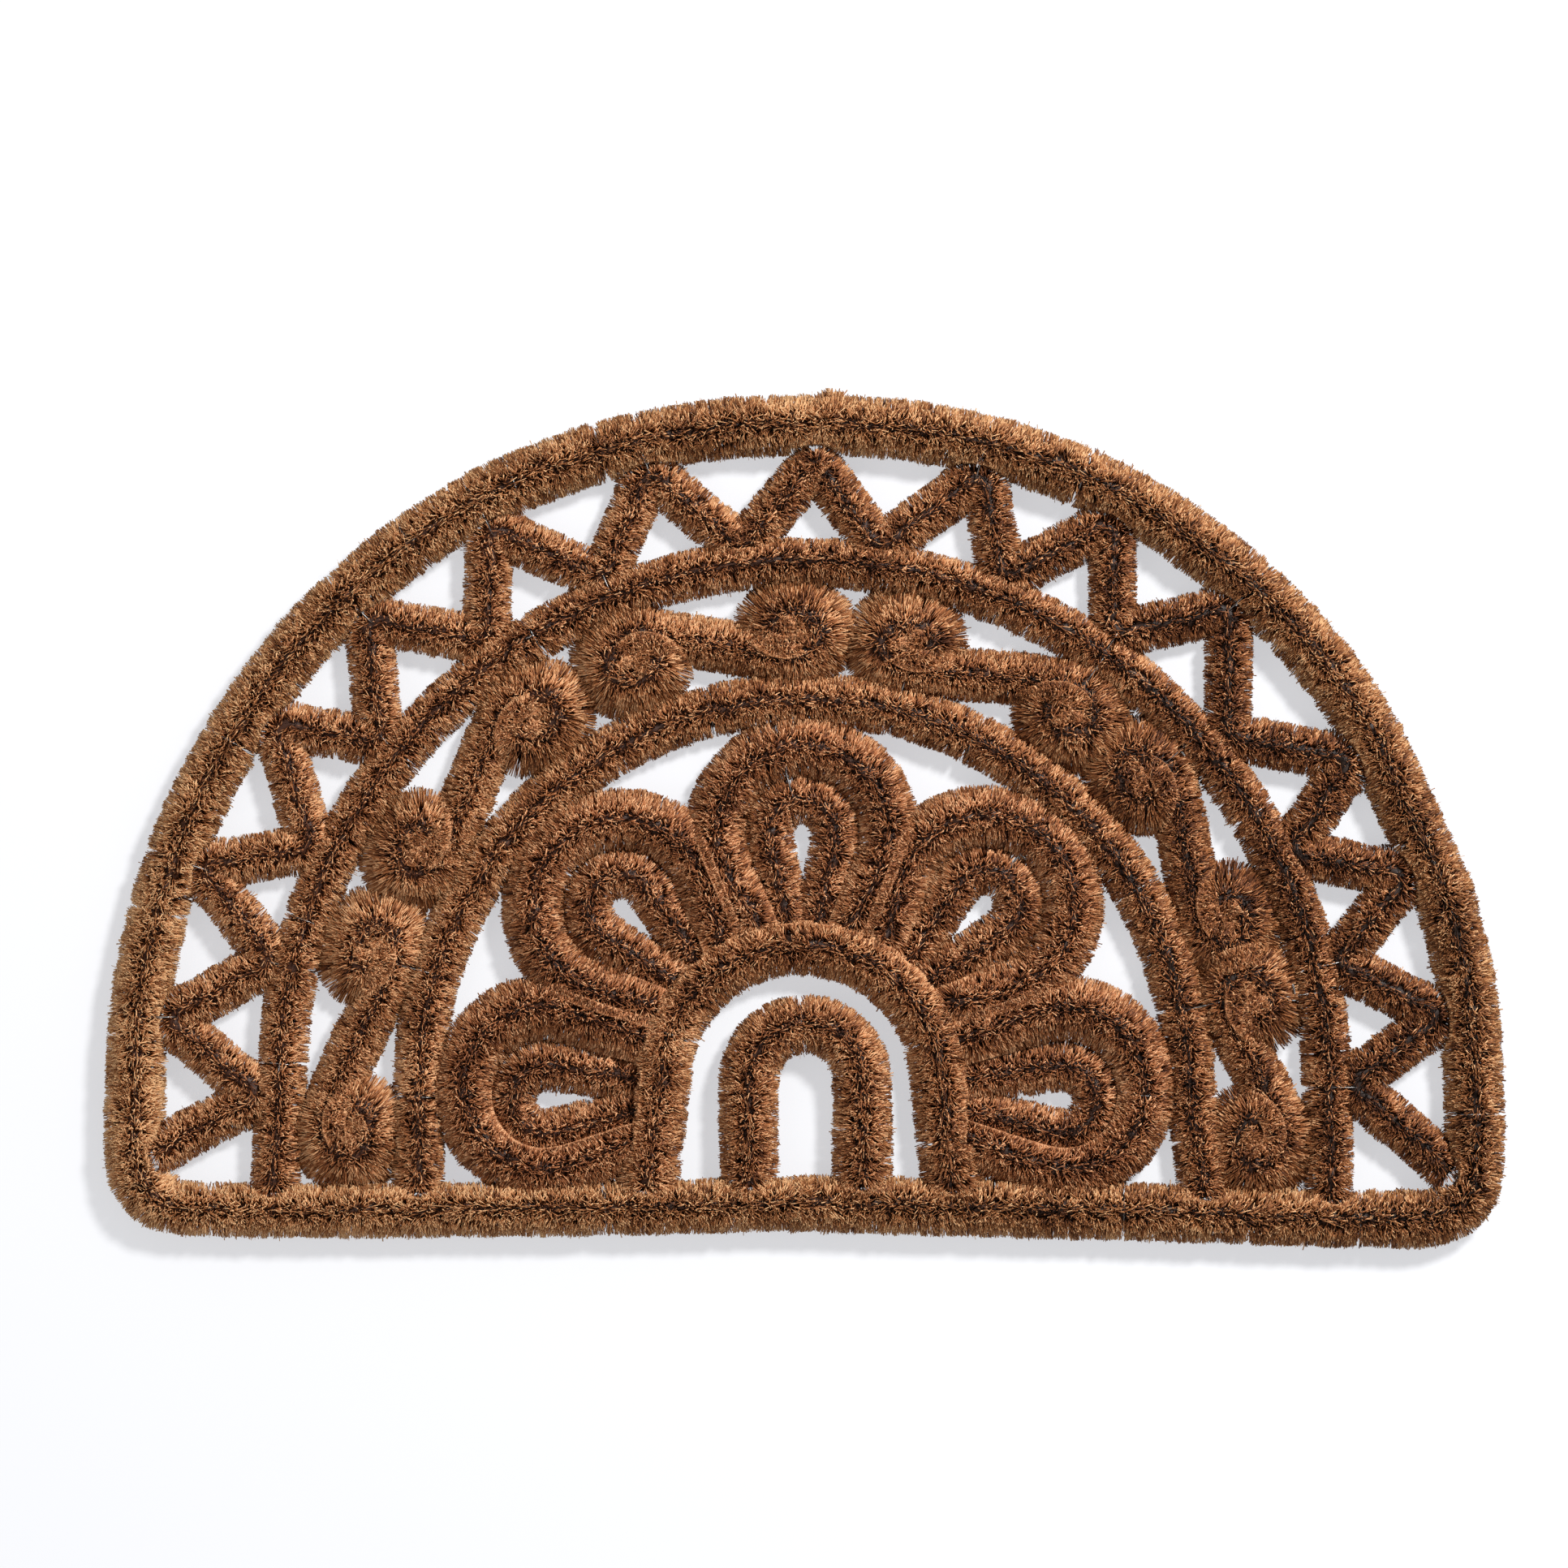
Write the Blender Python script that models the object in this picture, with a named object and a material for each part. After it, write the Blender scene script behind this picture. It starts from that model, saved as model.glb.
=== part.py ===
"""Half-moon openwork door mat made of wire-bound coir brush strips.

Every strip is a bottle-brush: coir bristles (a sleeve with an eight-sided section and a flat
underside) round a twisted pair of steel wires (a plain round core). The strips are bent to
arches, a zigzag, scrolls and petals, and lie side by side on the floor. All the lengths below are
millimetres, measured from the centre of the concentric arches, +Y towards the top of the half
moon. The finished model is metres, with its origin at the bottom centre of the whole mat.
"""
import math

import bmesh
import bpy
from mathutils import Matrix, Vector

MM = 0.001
GAP = 0.3                     # clearance between neighbouring strips

# Brush strips: half of the bristle width.
RIM_HALF = 16.0
BAR_HALF = 15.0               # the rim's straight bottom bar is trodden a little narrower
ARCH_HALF = 13.0
INNER_ARCH_HALF = 15.8
DOORWAY_HALF = 16.0
ZIGZAG_HALF = 12.5
PETAL_HALF = 14.4
PETAL_INNER_HALF = 11.8
PETAL_FOOT_HALF = 9.4
SCROLL_LINK_HALF = 9.8

# Wires.
CORE_RADIUS = 2.2             # envelope of the twisted pair
BORE_RADIUS = 2.75            # clear channel through the bristles
CORE_SIDES = 6
COIR_SIDES = 8
BORE_OVERRUN = 20.0           # how far the channel's cutter runs past both ends of its wire

# Rim: a semicircle on short straight sides, with rounded bottom corners.
RIM_RADIUS = 358.0
RIM_DENTS = (                 # where the hand-bent rim is flatter: middle angle, half-span, depth
    (92.0, 32.0, 4.5),
    (25.0, 12.0, 3.5),
)
RIM_STEP = 8.5                # degrees
CORNER_RADIUS = 27.0
CORNER_STEP = 22.5
BAR_LEFT = -65.5              # height of the bottom bar's wire at its left end
BAR_MIDDLE = -63.0
BAR_RIGHT = -71.0
BAR_BEND_LEFT = -100.0        # the bar's wire is bent here and in the middle
BAR_BEND_RIGHT = 160.0        # and bent here, halfway between the middle's and the right's height
SEAM_TOP = 88.5               # angles of the rim's butt joints, anticlockwise from +X
SEAM_RIGHT = 17.0
SEAM_LEFT = 171.0
SEAM_GAP = 8.0                # bristle-free length at a butt joint, where the tie sits
TIE_LENGTH = 6.0
TIE_BORE = 2.8
TIE_WALL = 1.1

# Arches.
OUTER_ARCH_RADIUS = 280.7
OUTER_ARCH_SEAM = 86.5
OUTER_ARCH_FEET = (-284.0, 281.5)
MIDDLE_ARCH_RADIUS = 205.7
MIDDLE_ARCH_SEAM = 91.0
MIDDLE_ARCH_FEET = (-206.5, 213.0)
INNER_ARCH_RADIUS = 75.2
INNER_ARCH_SHIFT = -2.0
INNER_ARCH_FEET = (-83.0, 78.0)
DOORWAY_RADIUS = 30.5
DOORWAY_CENTRE = (0.7, 2.6)
DOORWAY_FEET = (-30.0, 31.4)
ARCH_STEP = 9.0               # degrees
INNER_ARCH_STEP = 15.0
DOORWAY_STEP = 22.5
ARCH_SEAM_GAP = 3.0           # between the squared ends of two strips of one arch
FOOT_GAP = 2.0                # between a leg's squared end and the bottom bar

# Zigzag between the rim and the outer arch: where its wire turns.
ZIGZAG_OUTER_RADIUS = 336.5
ZIGZAG_INNER_RADIUS = 296.5
ZIGZAG_BEND = 5.0             # length cut off each side of a turn
ZIGZAG_WIRE_SHORT = (1.0, 7.0)   # its wire ends this far inside its bottom and its middle end
ZIGZAG_OVERLAP = 8.0          # length by which a leg runs past its turn
ZIGZAG_STEP = 0.15            # every second leg is this much thinner, so no faces coincide
ZIGZAG_MIDDLE = 89.0
ZIGZAG_LEFT_TURNS = (185.0, 181.1, 174.0, 166.8, 160.2, 154.1, 145.9, 140.8,
                     133.2, 125.7, 119.4, 111.7, 104.3, 96.6, ZIGZAG_MIDDLE)
ZIGZAG_RIGHT_TURNS = (-6.2, 0.0, 6.2, 12.9, 19.2, 25.5, 30.9, 39.5,
                      48.2, 55.4, 61.4, 68.5, 73.9, 82.1, ZIGZAG_MIDDLE)

# Scrolls between the outer and the middle arch. Each has two curls: the angle and the
# tangential half-length of each, and whether its link leaves the first curl on the outer side.
SCROLL_RADIUS = 242.8
CURL_HALF_DEPTH = 23.3        # radial half-size of a curl
CURL_TURNS = 1.1
CURL_POINTS = 10              # for each turn of the wire
CURL_LEAN = 18.0              # degrees from the radial line at which the wire leaves a curl
CURL_SIDES = 16
CURL_WIRE_OUTER = 16.0
CURL_WIRE_INNER = 4.5
CURL_STRETCH = (1.2, 0.85)    # tangential and radial stretch of the wire's spiral
CURL_HEIGHT = 24.0
CURL_EYE_RADIUS = 3.2
SCROLLS = (
    ((185.3, 28.0), (163.1, 28.0), True),
    ((148.1, 28.0), (126.9, 28.0), False),
    ((111.5, 28.0), (91.8, 28.0), True),
    ((76.4, 28.0), (54.8, 27.0), False),
    ((42.0, 27.0), (21.9, 23.4), True),
    ((10.8, 23.4), (-6.5, 24.5), False),
)

# Petals round the inner arch: two nested loops each. For each petal: the angles of its outer and
# its inner loop, its centre's distance from the arch centre, and its outer loop's head radius. The
# inner loop of the two lowest petals hangs below the outer loop's middle.
PETALS = (
    (180.6, 183.4, 139.0, 43.4),
    (136.0, 136.0, 136.5, 47.0),
    (90.5, 90.5, 134.5, 46.0),
    (45.0, 45.0, 136.5, 47.0),
    (-0.6, -3.4, 139.0, 43.4),
)
PETAL_FOOT_RADIUS = 93.5
PETAL_OUTER_FOOT = 29.7
PETAL_OUTER_STEP = 18.0
PETAL_INNER_RADIUS = 18.0
PETAL_INNER_FOOT = 9.75
PETAL_INNER_STEP = 30.0
PETAL_WIRE_SHORT = 7.5        # a loop's wire ends this far inside its foot
PETAL_FENCES = (158.5, 113.25, 67.75, 22.0)   # angles where neighbouring petals meet

FENCE_WALL = 20.0             # size of the blocks that trim a strip at a plane
FENCE_LENGTH = 160.0
FENCE_HEIGHT = 60.0

COIR_LIGHT = (0.36, 0.17, 0.055)
COIR_MID = (0.27, 0.115, 0.036)
COIR_DARK = (0.20, 0.078, 0.026)
STEEL = (0.55, 0.56, 0.58)


# Materials and collections ---------------------------------------------------------------------

def make_material(name, colour, roughness, metallic):
    material = bpy.data.materials.new(name)
    material.use_nodes = True
    shader = material.node_tree.nodes["Principled BSDF"]
    shader.inputs["Base Color"].default_value = (*colour, 1.0)
    shader.inputs["Roughness"].default_value = roughness
    shader.inputs["Metallic"].default_value = metallic
    return material


def make_collection(name):
    collection = bpy.data.collections.new(name)
    bpy.context.scene.collection.children.link(collection)
    return collection


# Paths: lists of (x, y) in millimetres from the arch centre ------------------------------------

def polar(radius, angle):
    turn = math.radians(angle)
    return (radius * math.cos(turn), radius * math.sin(turn))


def arc(centre, radius, start, end, step):
    """Points on an arc from one angle to another, no more than step degrees apart."""
    count = max(1, math.ceil(abs(end - start) / step))
    angles = [start + (end - start) * i / count for i in range(count + 1)]
    points = [polar(radius, angle) for angle in angles]
    return [(centre[0] + x, centre[1] + y) for x, y in points]


def towards(start, end, distance):
    length = math.dist(start, end)
    share = distance / length
    return (start[0] + (end[0] - start[0]) * share, start[1] + (end[1] - start[1]) * share)


def cut_start(path, length):
    """Shorten a path's start by a length, or lengthen it straight on if the length is negative."""
    path = list(path)
    if length < 0.0:
        return [towards(path[0], path[1], length)] + path[1:]
    while math.dist(path[0], path[1]) <= length + 0.5:
        length -= math.dist(path[0], path[1])
        path = path[1:]
    return [towards(path[0], path[1], length)] + path[1:]


def cut_ends(path, start, end):
    return cut_start(cut_start(path, start)[::-1], end)[::-1]


def blunt_corners(path, size):
    """Replace each inner corner of a path by a short straight piece."""
    blunted = [path[0]]
    for before, corner, after in zip(path, path[1:], path[2:]):
        blunted.append(towards(corner, before, size))
        blunted.append(towards(corner, after, size))
    return blunted + [path[-1]]


# Solids ----------------------------------------------------------------------------------------

def mesh_from(source, name):
    """The evaluated object as a plain mesh object with its caps welded; the source goes."""
    graph = bpy.context.evaluated_depsgraph_get()
    mesh = bpy.data.meshes.new_from_object(source.evaluated_get(graph))
    mesh.name = name
    work = bmesh.new()
    work.from_mesh(mesh)
    bmesh.ops.remove_doubles(work, verts=work.verts, dist=1e-6)
    bmesh.ops.recalc_face_normals(work, faces=work.faces)
    work.to_mesh(mesh)
    work.free()
    result = bpy.data.objects.new(name, mesh)
    result.matrix_world = source.matrix_world
    bpy.context.scene.collection.objects.link(result)
    bpy.data.objects.remove(source)
    return result


def tube(name, path, height, radii, sides):
    """A round bar along a path. Eight sides stand on a flat, six on a corner."""
    curve = bpy.data.curves.new(name, "CURVE")
    curve.dimensions = "3D"
    curve.twist_mode = "Z_UP"
    curve.use_fill_caps = True
    curve.bevel_resolution = (sides - 4) // 2
    flat_turn = math.pi / sides if sides == COIR_SIDES else 0.0
    curve.bevel_depth = MM
    spline = curve.splines.new("POLY")
    spline.points.add(len(path) - 1)
    for point, (x, y), radius in zip(spline.points, path, radii):
        point.co = (x * MM, y * MM, height * MM, 1.0)
        point.radius = radius / math.cos(flat_turn)
        point.tilt = flat_turn
    bar = bpy.data.objects.new(name, curve)
    bpy.context.scene.collection.objects.link(bar)
    return mesh_from(bar, name)


def disc(name, centre, half_size, turn, height, sides):
    """An upright elliptical drum that stands at z = 0, turned about Z by an angle in degrees."""
    bpy.ops.mesh.primitive_cylinder_add(vertices=sides, radius=1.0, depth=1.0)
    drum = bpy.context.object
    size = Matrix.Diagonal((half_size[0] * MM, half_size[1] * MM, height * MM, 1.0))
    place = Matrix.Translation((centre[0] * MM, centre[1] * MM, height * MM / 2))
    spin = Matrix.Rotation(math.radians(turn), 4, "Z")
    drum.data.transform(place @ spin @ size)
    drum.matrix_world = Matrix.Identity(4)
    drum.name = name
    return drum


def box(name, centre, size, turn):
    """A box with its centre at a point, turned about Z by an angle in degrees."""
    bpy.ops.mesh.primitive_cube_add(size=1.0)
    block = bpy.context.object
    scale = Matrix.Diagonal((size[0] * MM, size[1] * MM, size[2] * MM, 1.0))
    place = Matrix.Translation(Vector(centre) * MM)
    spin = Matrix.Rotation(math.radians(turn), 4, "Z")
    block.data.transform(place @ spin @ scale)
    block.matrix_world = Matrix.Identity(4)
    block.name = name
    return block


def combine(target, tool, operation):
    """Boolean the target with the tool, apply it, and remove the tool."""
    step = target.modifiers.new("combine", "BOOLEAN")
    step.operation = operation
    step.object = tool
    name = target.name
    result = mesh_from(target, name)
    bpy.data.objects.remove(tool)
    return result


def keep_largest(target):
    """Delete every loose scrap that a cut has left, apart from the body with the most corners."""
    work = bmesh.new()
    work.from_mesh(target.data)
    left = set(work.verts)
    bodies = []
    while left:
        stack = [left.pop()]
        body = set(stack)
        while stack:
            vertex = stack.pop()
            near = {edge.other_vert(vertex) for edge in vertex.link_edges} - body
            body |= near
            stack.extend(near)
        left -= body
        bodies.append(body)
    bodies.sort(key=len)
    scraps = [vertex for body in bodies[:-1] for vertex in body]
    bmesh.ops.delete(work, geom=scraps, context="VERTS")
    work.to_mesh(target.data)
    work.free()


# Strips ----------------------------------------------------------------------------------------

def finish(solid, name, material, collection):
    solid.name = name
    solid.data.name = name
    solid.data.materials.clear()
    solid.data.materials.append(material)
    for owner in list(solid.users_collection):
        owner.objects.unlink(solid)
    collection.objects.link(solid)
    solid.data.shade_smooth()
    solid.data.set_sharp_from_angle(angle=math.radians(50.0))
    return solid


def drill(coir, path, height, sides=CORE_SIDES):
    """Cut the channel for the core, open past both ends of the path."""
    bore = tube("bore", path, height, [BORE_RADIUS] * len(path), sides)
    return combine(coir, bore, "DIFFERENCE")


def strip(name, path, halves, height, core_path, coir_material, fences=()):
    """One brush strip: its sleeve of bristles and its wire core."""
    coir = tube(name, path, height, halves, COIR_SIDES)
    for fence in fences:
        coir = combine(coir, fence, "DIFFERENCE")
    coir = drill(coir, cut_ends(core_path, -BORE_OVERRUN, -BORE_OVERRUN), height)
    keep_largest(coir)
    finish(coir, name + "_coir", coir_material, parts)
    core = tube(name, core_path, height, [CORE_RADIUS] * len(core_path), CORE_SIDES)
    finish(core, name + "_wire", steel, parts)


def dent(angle):
    """How far the rim lies inside its circle at an angle."""
    depth = 0.0
    for middle, half_span, deepest in RIM_DENTS:
        share = min(1.0, abs(angle - middle) / half_span)
        depth += deepest * math.cos(share * math.pi / 2) ** 2
    return depth


def rim_arc(start, end):
    count = math.ceil(abs(end - start) / RIM_STEP)
    angles = [start + (end - start) * i / count for i in range(count + 1)]
    return [polar(RIM_RADIUS - dent(angle), angle) for angle in angles]


def rim_path():
    """The whole rim in four lengths, anticlockwise from the bottom centre and back to it."""
    side = RIM_RADIUS - CORNER_RADIUS
    right = (side, BAR_RIGHT + CORNER_RADIUS)
    left = (-side, BAR_LEFT + CORNER_RADIUS)
    start = [(0.0, BAR_MIDDLE), (BAR_BEND_RIGHT, (BAR_MIDDLE + BAR_RIGHT) / 2)]
    end = [(BAR_BEND_LEFT, BAR_LEFT), (0.0, BAR_MIDDLE)]
    lower_right = start + arc(right, CORNER_RADIUS, -90.0, 0.0, CORNER_STEP)
    lower_left = arc(left, CORNER_RADIUS, 180.0, 270.0, CORNER_STEP) + end
    return {
        "bottom_right": lower_right + rim_arc(0.0, SEAM_RIGHT),
        "top_right": rim_arc(SEAM_RIGHT, SEAM_TOP),
        "top_left": rim_arc(SEAM_TOP, SEAM_LEFT),
        "bottom_left": rim_arc(SEAM_LEFT, 180.0) + lower_left,
    }


def rim_halves(path):
    return [BAR_HALF if y < BAR_MIDDLE + 1.0 else RIM_HALF for x, y in path]


def make_rim():
    for name, path in rim_path().items():
        outline = cut_ends(path, SEAM_GAP / 2, SEAM_GAP / 2)
        core = cut_ends(path, GAP, GAP)
        strip("rim_" + name, outline, rim_halves(outline), RIM_HALF, core, coir_light)


def make_ties():
    """A short wire binding round each of the rim's butt joints."""
    paths = rim_path()
    joints = {"bottom": "bottom_right", "right": "top_right", "top": "top_left", "left": "bottom_left"}
    for name, after in joints.items():
        start, ahead = paths[after][:2]
        half = TIE_LENGTH / 2
        span = [towards(start, ahead, -half), towards(start, ahead, half)]
        outside = [TIE_BORE + TIE_WALL] * 2
        tie = tube("tie", span, RIM_HALF, outside, COIR_SIDES)
        hole = tube("hole", cut_ends(span, -1.0, -1.0), RIM_HALF, [TIE_BORE] * 2, COIR_SIDES)
        tie = combine(tie, hole, "DIFFERENCE")
        finish(tie, "rim_tie_" + name, steel, parts)


def bar_height(x):
    """Height of the bottom bar's wire at a place along it."""
    if x < 0.0:
        share = min(1.0, x / BAR_BEND_LEFT)
        return BAR_MIDDLE + (BAR_LEFT - BAR_MIDDLE) * share
    share = x / BAR_BEND_RIGHT
    if share < 1.0:
        return BAR_MIDDLE + (BAR_RIGHT - BAR_MIDDLE) / 2 * share
    beyond = (x - BAR_BEND_RIGHT) / (RIM_RADIUS - CORNER_RADIUS - BAR_BEND_RIGHT)
    return BAR_MIDDLE + (BAR_RIGHT - BAR_MIDDLE) / 2 * (1.0 + min(1.0, beyond))


def foot(x, half):
    """The place where a leg at x ends, just clear of the bottom bar under its whole width."""
    highest = max(bar_height(place) for place in (x - half, x, x + half))
    return (x, highest + BAR_HALF + FOOT_GAP)


def split_arch_paths(radius, feet, seam):
    """An arch of two strips that meet near the top, each with a straight leg."""
    return {
        "right": [foot(feet[1], ARCH_HALF)] + arc((0.0, 0.0), radius, 0.0, seam, ARCH_STEP),
        "left": [foot(feet[0], ARCH_HALF)] + arc((0.0, 0.0), radius, 180.0, seam, ARCH_STEP),
    }


def make_split_arch(name, paths):
    for side, path in paths.items():
        outline = cut_ends(path, 0.0, ARCH_SEAM_GAP / 2)
        core = cut_ends(path, GAP, GAP)
        strip(f"{name}_{side}", outline, [ARCH_HALF] * len(outline), ARCH_HALF, core, coir_mid)


def arch_path(centre, radius, feet, half, step):
    return [foot(feet[1], half)] + arc(centre, radius, 0.0, 180.0, step) + [foot(feet[0], half)]


def make_arch(name, path, half):
    """An arch of one strip."""
    core = cut_ends(path, GAP, GAP)
    strip(name, path, [half] * len(path), half, core, coir_mid)


def zigzag_path(turns):
    """Turns by the rim and by the arch in turn. It follows the rim's dents."""
    radii = (ZIGZAG_OUTER_RADIUS, ZIGZAG_INNER_RADIUS)
    return [polar(radii[i % 2] - dent(angle), angle) for i, angle in enumerate(turns)]


def cutter_of(path, halves):
    """A neighbour's sleeve, fatter by the clearance."""
    return tube("cutter", path, max(halves), [half + GAP for half in halves], COIR_SIDES)


def fence(place, turn, side, height):
    """A block with one face through a place, along an angle, on its left (1) or right (-1)."""
    across = polar(FENCE_WALL / 2 - GAP, turn + side * 90.0)
    centre = (place[0] + across[0], place[1] + across[1], height)
    return box("fence", centre, (FENCE_LENGTH, FENCE_WALL, FENCE_HEIGHT), turn)


def make_zigzag(side, turns, rim_sides, middle_side):
    """Straight legs joined into one sleeve, then trimmed by the rim, the arch and the middle."""
    name = "zigzag_" + side
    path = zigzag_path(turns)
    coir = None
    for index, ends in enumerate(zip(path, path[1:])):
        span = cut_ends(ends, -ZIGZAG_OVERLAP, -ZIGZAG_OVERLAP)
        half = ZIGZAG_HALF - ZIGZAG_STEP * (index % 2)
        leg = tube("leg", span, ZIGZAG_HALF, [half] * 2, COIR_SIDES)
        coir = leg if coir is None else combine(coir, leg, "UNION")
    paths = rim_path()
    for rim_side in rim_sides:
        rim = paths[rim_side]
        coir = combine(coir, cutter_of(rim, [RIM_HALF] * len(rim)), "DIFFERENCE")
    coir = combine(coir, cutter_of(outer_arch[side], [ARCH_HALF] * len(outer_arch[side])), "DIFFERENCE")
    reach = polar(ZIGZAG_OUTER_RADIUS, ZIGZAG_MIDDLE)
    coir = combine(coir, fence(reach, ZIGZAG_MIDDLE, middle_side, ZIGZAG_HALF), "DIFFERENCE")
    core = cut_ends(blunt_corners(path, ZIGZAG_BEND), *ZIGZAG_WIRE_SHORT)
    coir = drill(coir, cut_ends(core, -BORE_OVERRUN, -BORE_OVERRUN), ZIGZAG_HALF)
    keep_largest(coir)
    finish(coir, name + "_coir", coir_mid, parts)
    finish(tube(name, core, ZIGZAG_HALF, [CORE_RADIUS] * len(core), CORE_SIDES), name + "_wire", steel, parts)


def curl_wire(angle, side, turning):
    """A curl's wire from its eye outwards. The wire leaves on one side (1 out, -1 in)."""
    centre = polar(SCROLL_RADIUS, angle)
    outward = polar(1.0, angle)
    along = (outward[1] * turning, -outward[0] * turning)
    count = math.ceil(CURL_TURNS * CURL_POINTS)
    points = []
    for i in range(count + 1):
        share = i / count
        phase = math.radians(90.0 - CURL_LEAN + 360.0 * CURL_TURNS * (1.0 - share))
        reach = CURL_WIRE_INNER + (CURL_WIRE_OUTER - CURL_WIRE_INNER) * share
        forward = reach * CURL_STRETCH[0] * math.cos(phase)
        rise = reach * CURL_STRETCH[1] * math.sin(phase) * side
        points.append((centre[0] + along[0] * forward + outward[0] * rise,
                       centre[1] + along[1] * forward + outward[1] * rise))
    return points


def make_scroll(name, first, second, outer_first, neighbours=()):
    """Two drums of bristles and the link between them, bored along the wire's spirals."""
    side = 1 if outer_first else -1
    begin = curl_wire(first[0], side, 1)
    finish_curl = curl_wire(second[0], -side, -1)
    height = CURL_HEIGHT / 2
    link = [begin[-1], finish_curl[-1]]
    coir = tube(name, link, height, [SCROLL_LINK_HALF] * 2, COIR_SIDES)
    for angle, half_length in (first, second):
        size = (CURL_HALF_DEPTH, half_length)
        drum = disc("drum", polar(SCROLL_RADIUS, angle), size, angle, CURL_HEIGHT, CURL_SIDES)
        coir = combine(coir, drum, "UNION")
    for neighbour in neighbours:
        coir = combine(coir, cutter_of(neighbour, [ARCH_HALF] * len(neighbour)), "DIFFERENCE")
    core = begin + finish_curl[::-1]
    for eye in (core[0], core[-1]):
        hole = disc("eye", eye, (CURL_EYE_RADIUS, CURL_EYE_RADIUS), 0.0, CURL_HEIGHT, COIR_SIDES)
        hole.data.transform(Matrix.Translation((0.0, 0.0, height * MM)))
        coir = combine(coir, hole, "DIFFERENCE")
    coir = drill(coir, core, height)
    keep_largest(coir)
    finish(coir, name + "_coir", coir_mid, parts)
    core = cut_ends(core, GAP, GAP)
    finish(tube(name, core, height, [CORE_RADIUS] * len(core), CORE_SIDES), name + "_wire", steel, parts)


def keyhole(angle, centre_radius, radius, foot_half, step):
    """A petal loop: a round head, and two legs that run in to the foot."""
    depth = centre_radius - PETAL_FOOT_RADIUS
    distance = math.hypot(depth, foot_half)
    lean = 180.0 - math.degrees(math.atan2(foot_half, depth)) - math.degrees(math.acos(radius / distance))
    head = arc((0.0, 0.0), radius, -lean, lean, step)
    local = [(-depth, -foot_half)] + head + [(-depth, foot_half)]
    outward = polar(1.0, angle)
    points = []
    for u, v in local:
        u += centre_radius
        points.append((outward[0] * u - outward[1] * v, outward[1] * u + outward[0] * v))
    return points


def petal_fences(index):
    """Cutters for a petal's outer loop: the arches on both sides of it, the planes where it meets
    its neighbours and, for the two lowest petals, the bottom bar."""
    angle, _, centre_radius, head_radius = PETALS[index]
    blocks = [cutter_of(inner_arch, [INNER_ARCH_HALF] * len(inner_arch))]
    for side, indices in (("left", (0, 1, 2)), ("right", (2, 3, 4))):
        if index in indices:
            arch = cut_ends(middle_arch[side], 0.0, -SEAM_GAP)
            blocks.append(cutter_of(arch, [ARCH_HALF] * len(arch)))
    for number, side in ((index - 1, 1.0), (index, -1.0)):
        if 0 <= number < len(PETAL_FENCES):
            turn = PETAL_FENCES[number]
            blocks.append(fence(polar(centre_radius, turn), turn, side, PETAL_HALF))
    if index in (0, len(PETALS) - 1):
        x = polar(centre_radius, angle)[0]
        bar_top = foot(x, head_radius)[1] - FOOT_GAP
        blocks.append(fence((x, bar_top + 2 * GAP), 0.0, -1.0, PETAL_HALF))
    return blocks


def petal_loop(name, path, half, fences):
    halves = [PETAL_FOOT_HALF] + [half] * (len(path) - 2) + [PETAL_FOOT_HALF]
    core = cut_ends(path, PETAL_WIRE_SHORT, PETAL_WIRE_SHORT)
    strip(name, path, halves, half, core, coir_dark, fences)
    return halves


def make_petals():
    for index, (angle, inner_angle, centre_radius, head_radius) in enumerate(PETALS):
        name = f"petal_{index + 1}"
        outer = keyhole(angle, centre_radius, head_radius, PETAL_OUTER_FOOT, PETAL_OUTER_STEP)
        halves = petal_loop(name + "_outer", outer, PETAL_HALF, petal_fences(index))
        inner = keyhole(inner_angle, centre_radius, PETAL_INNER_RADIUS, PETAL_INNER_FOOT, PETAL_INNER_STEP)
        fences = [cutter_of(inner_arch, [INNER_ARCH_HALF] * len(inner_arch))]
        if inner_angle != angle:
            fences.append(cutter_of(outer, halves))
        petal_loop(name + "_inner", inner, PETAL_INNER_HALF, fences)


def settle():
    """Move every part so that the origin is at the bottom centre of the whole mat."""
    corners = [part.matrix_world @ Vector(corner) for part in parts.objects for corner in part.bound_box]
    low = Vector([min(corner[axis] for corner in corners) for axis in range(3)])
    high = Vector([max(corner[axis] for corner in corners) for axis in range(3)])
    shift = Vector((-(low.x + high.x) / 2, -(low.y + high.y) / 2, -low.z))
    for part in parts.objects:
        part.location += shift


for old in list(bpy.data.objects):
    bpy.data.objects.remove(old, do_unlink=True)

parts = make_collection("door_mat")
coir_light = make_material("coir_light", COIR_LIGHT, 0.85, 0.0)
coir_mid = make_material("coir_mid", COIR_MID, 0.85, 0.0)
coir_dark = make_material("coir_dark", COIR_DARK, 0.85, 0.0)
steel = make_material("galvanised_wire", STEEL, 0.4, 1.0)

inner_arch = arch_path((INNER_ARCH_SHIFT, 0.0), INNER_ARCH_RADIUS, INNER_ARCH_FEET, INNER_ARCH_HALF,
                       INNER_ARCH_STEP)
doorway = arch_path(DOORWAY_CENTRE, DOORWAY_RADIUS, DOORWAY_FEET, DOORWAY_HALF, DOORWAY_STEP)
outer_arch = split_arch_paths(OUTER_ARCH_RADIUS, OUTER_ARCH_FEET, OUTER_ARCH_SEAM)
middle_arch = split_arch_paths(MIDDLE_ARCH_RADIUS, MIDDLE_ARCH_FEET, MIDDLE_ARCH_SEAM)
lowest_scrolls = {1: (middle_arch["left"],), 6: (middle_arch["right"], outer_arch["right"])}

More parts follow.
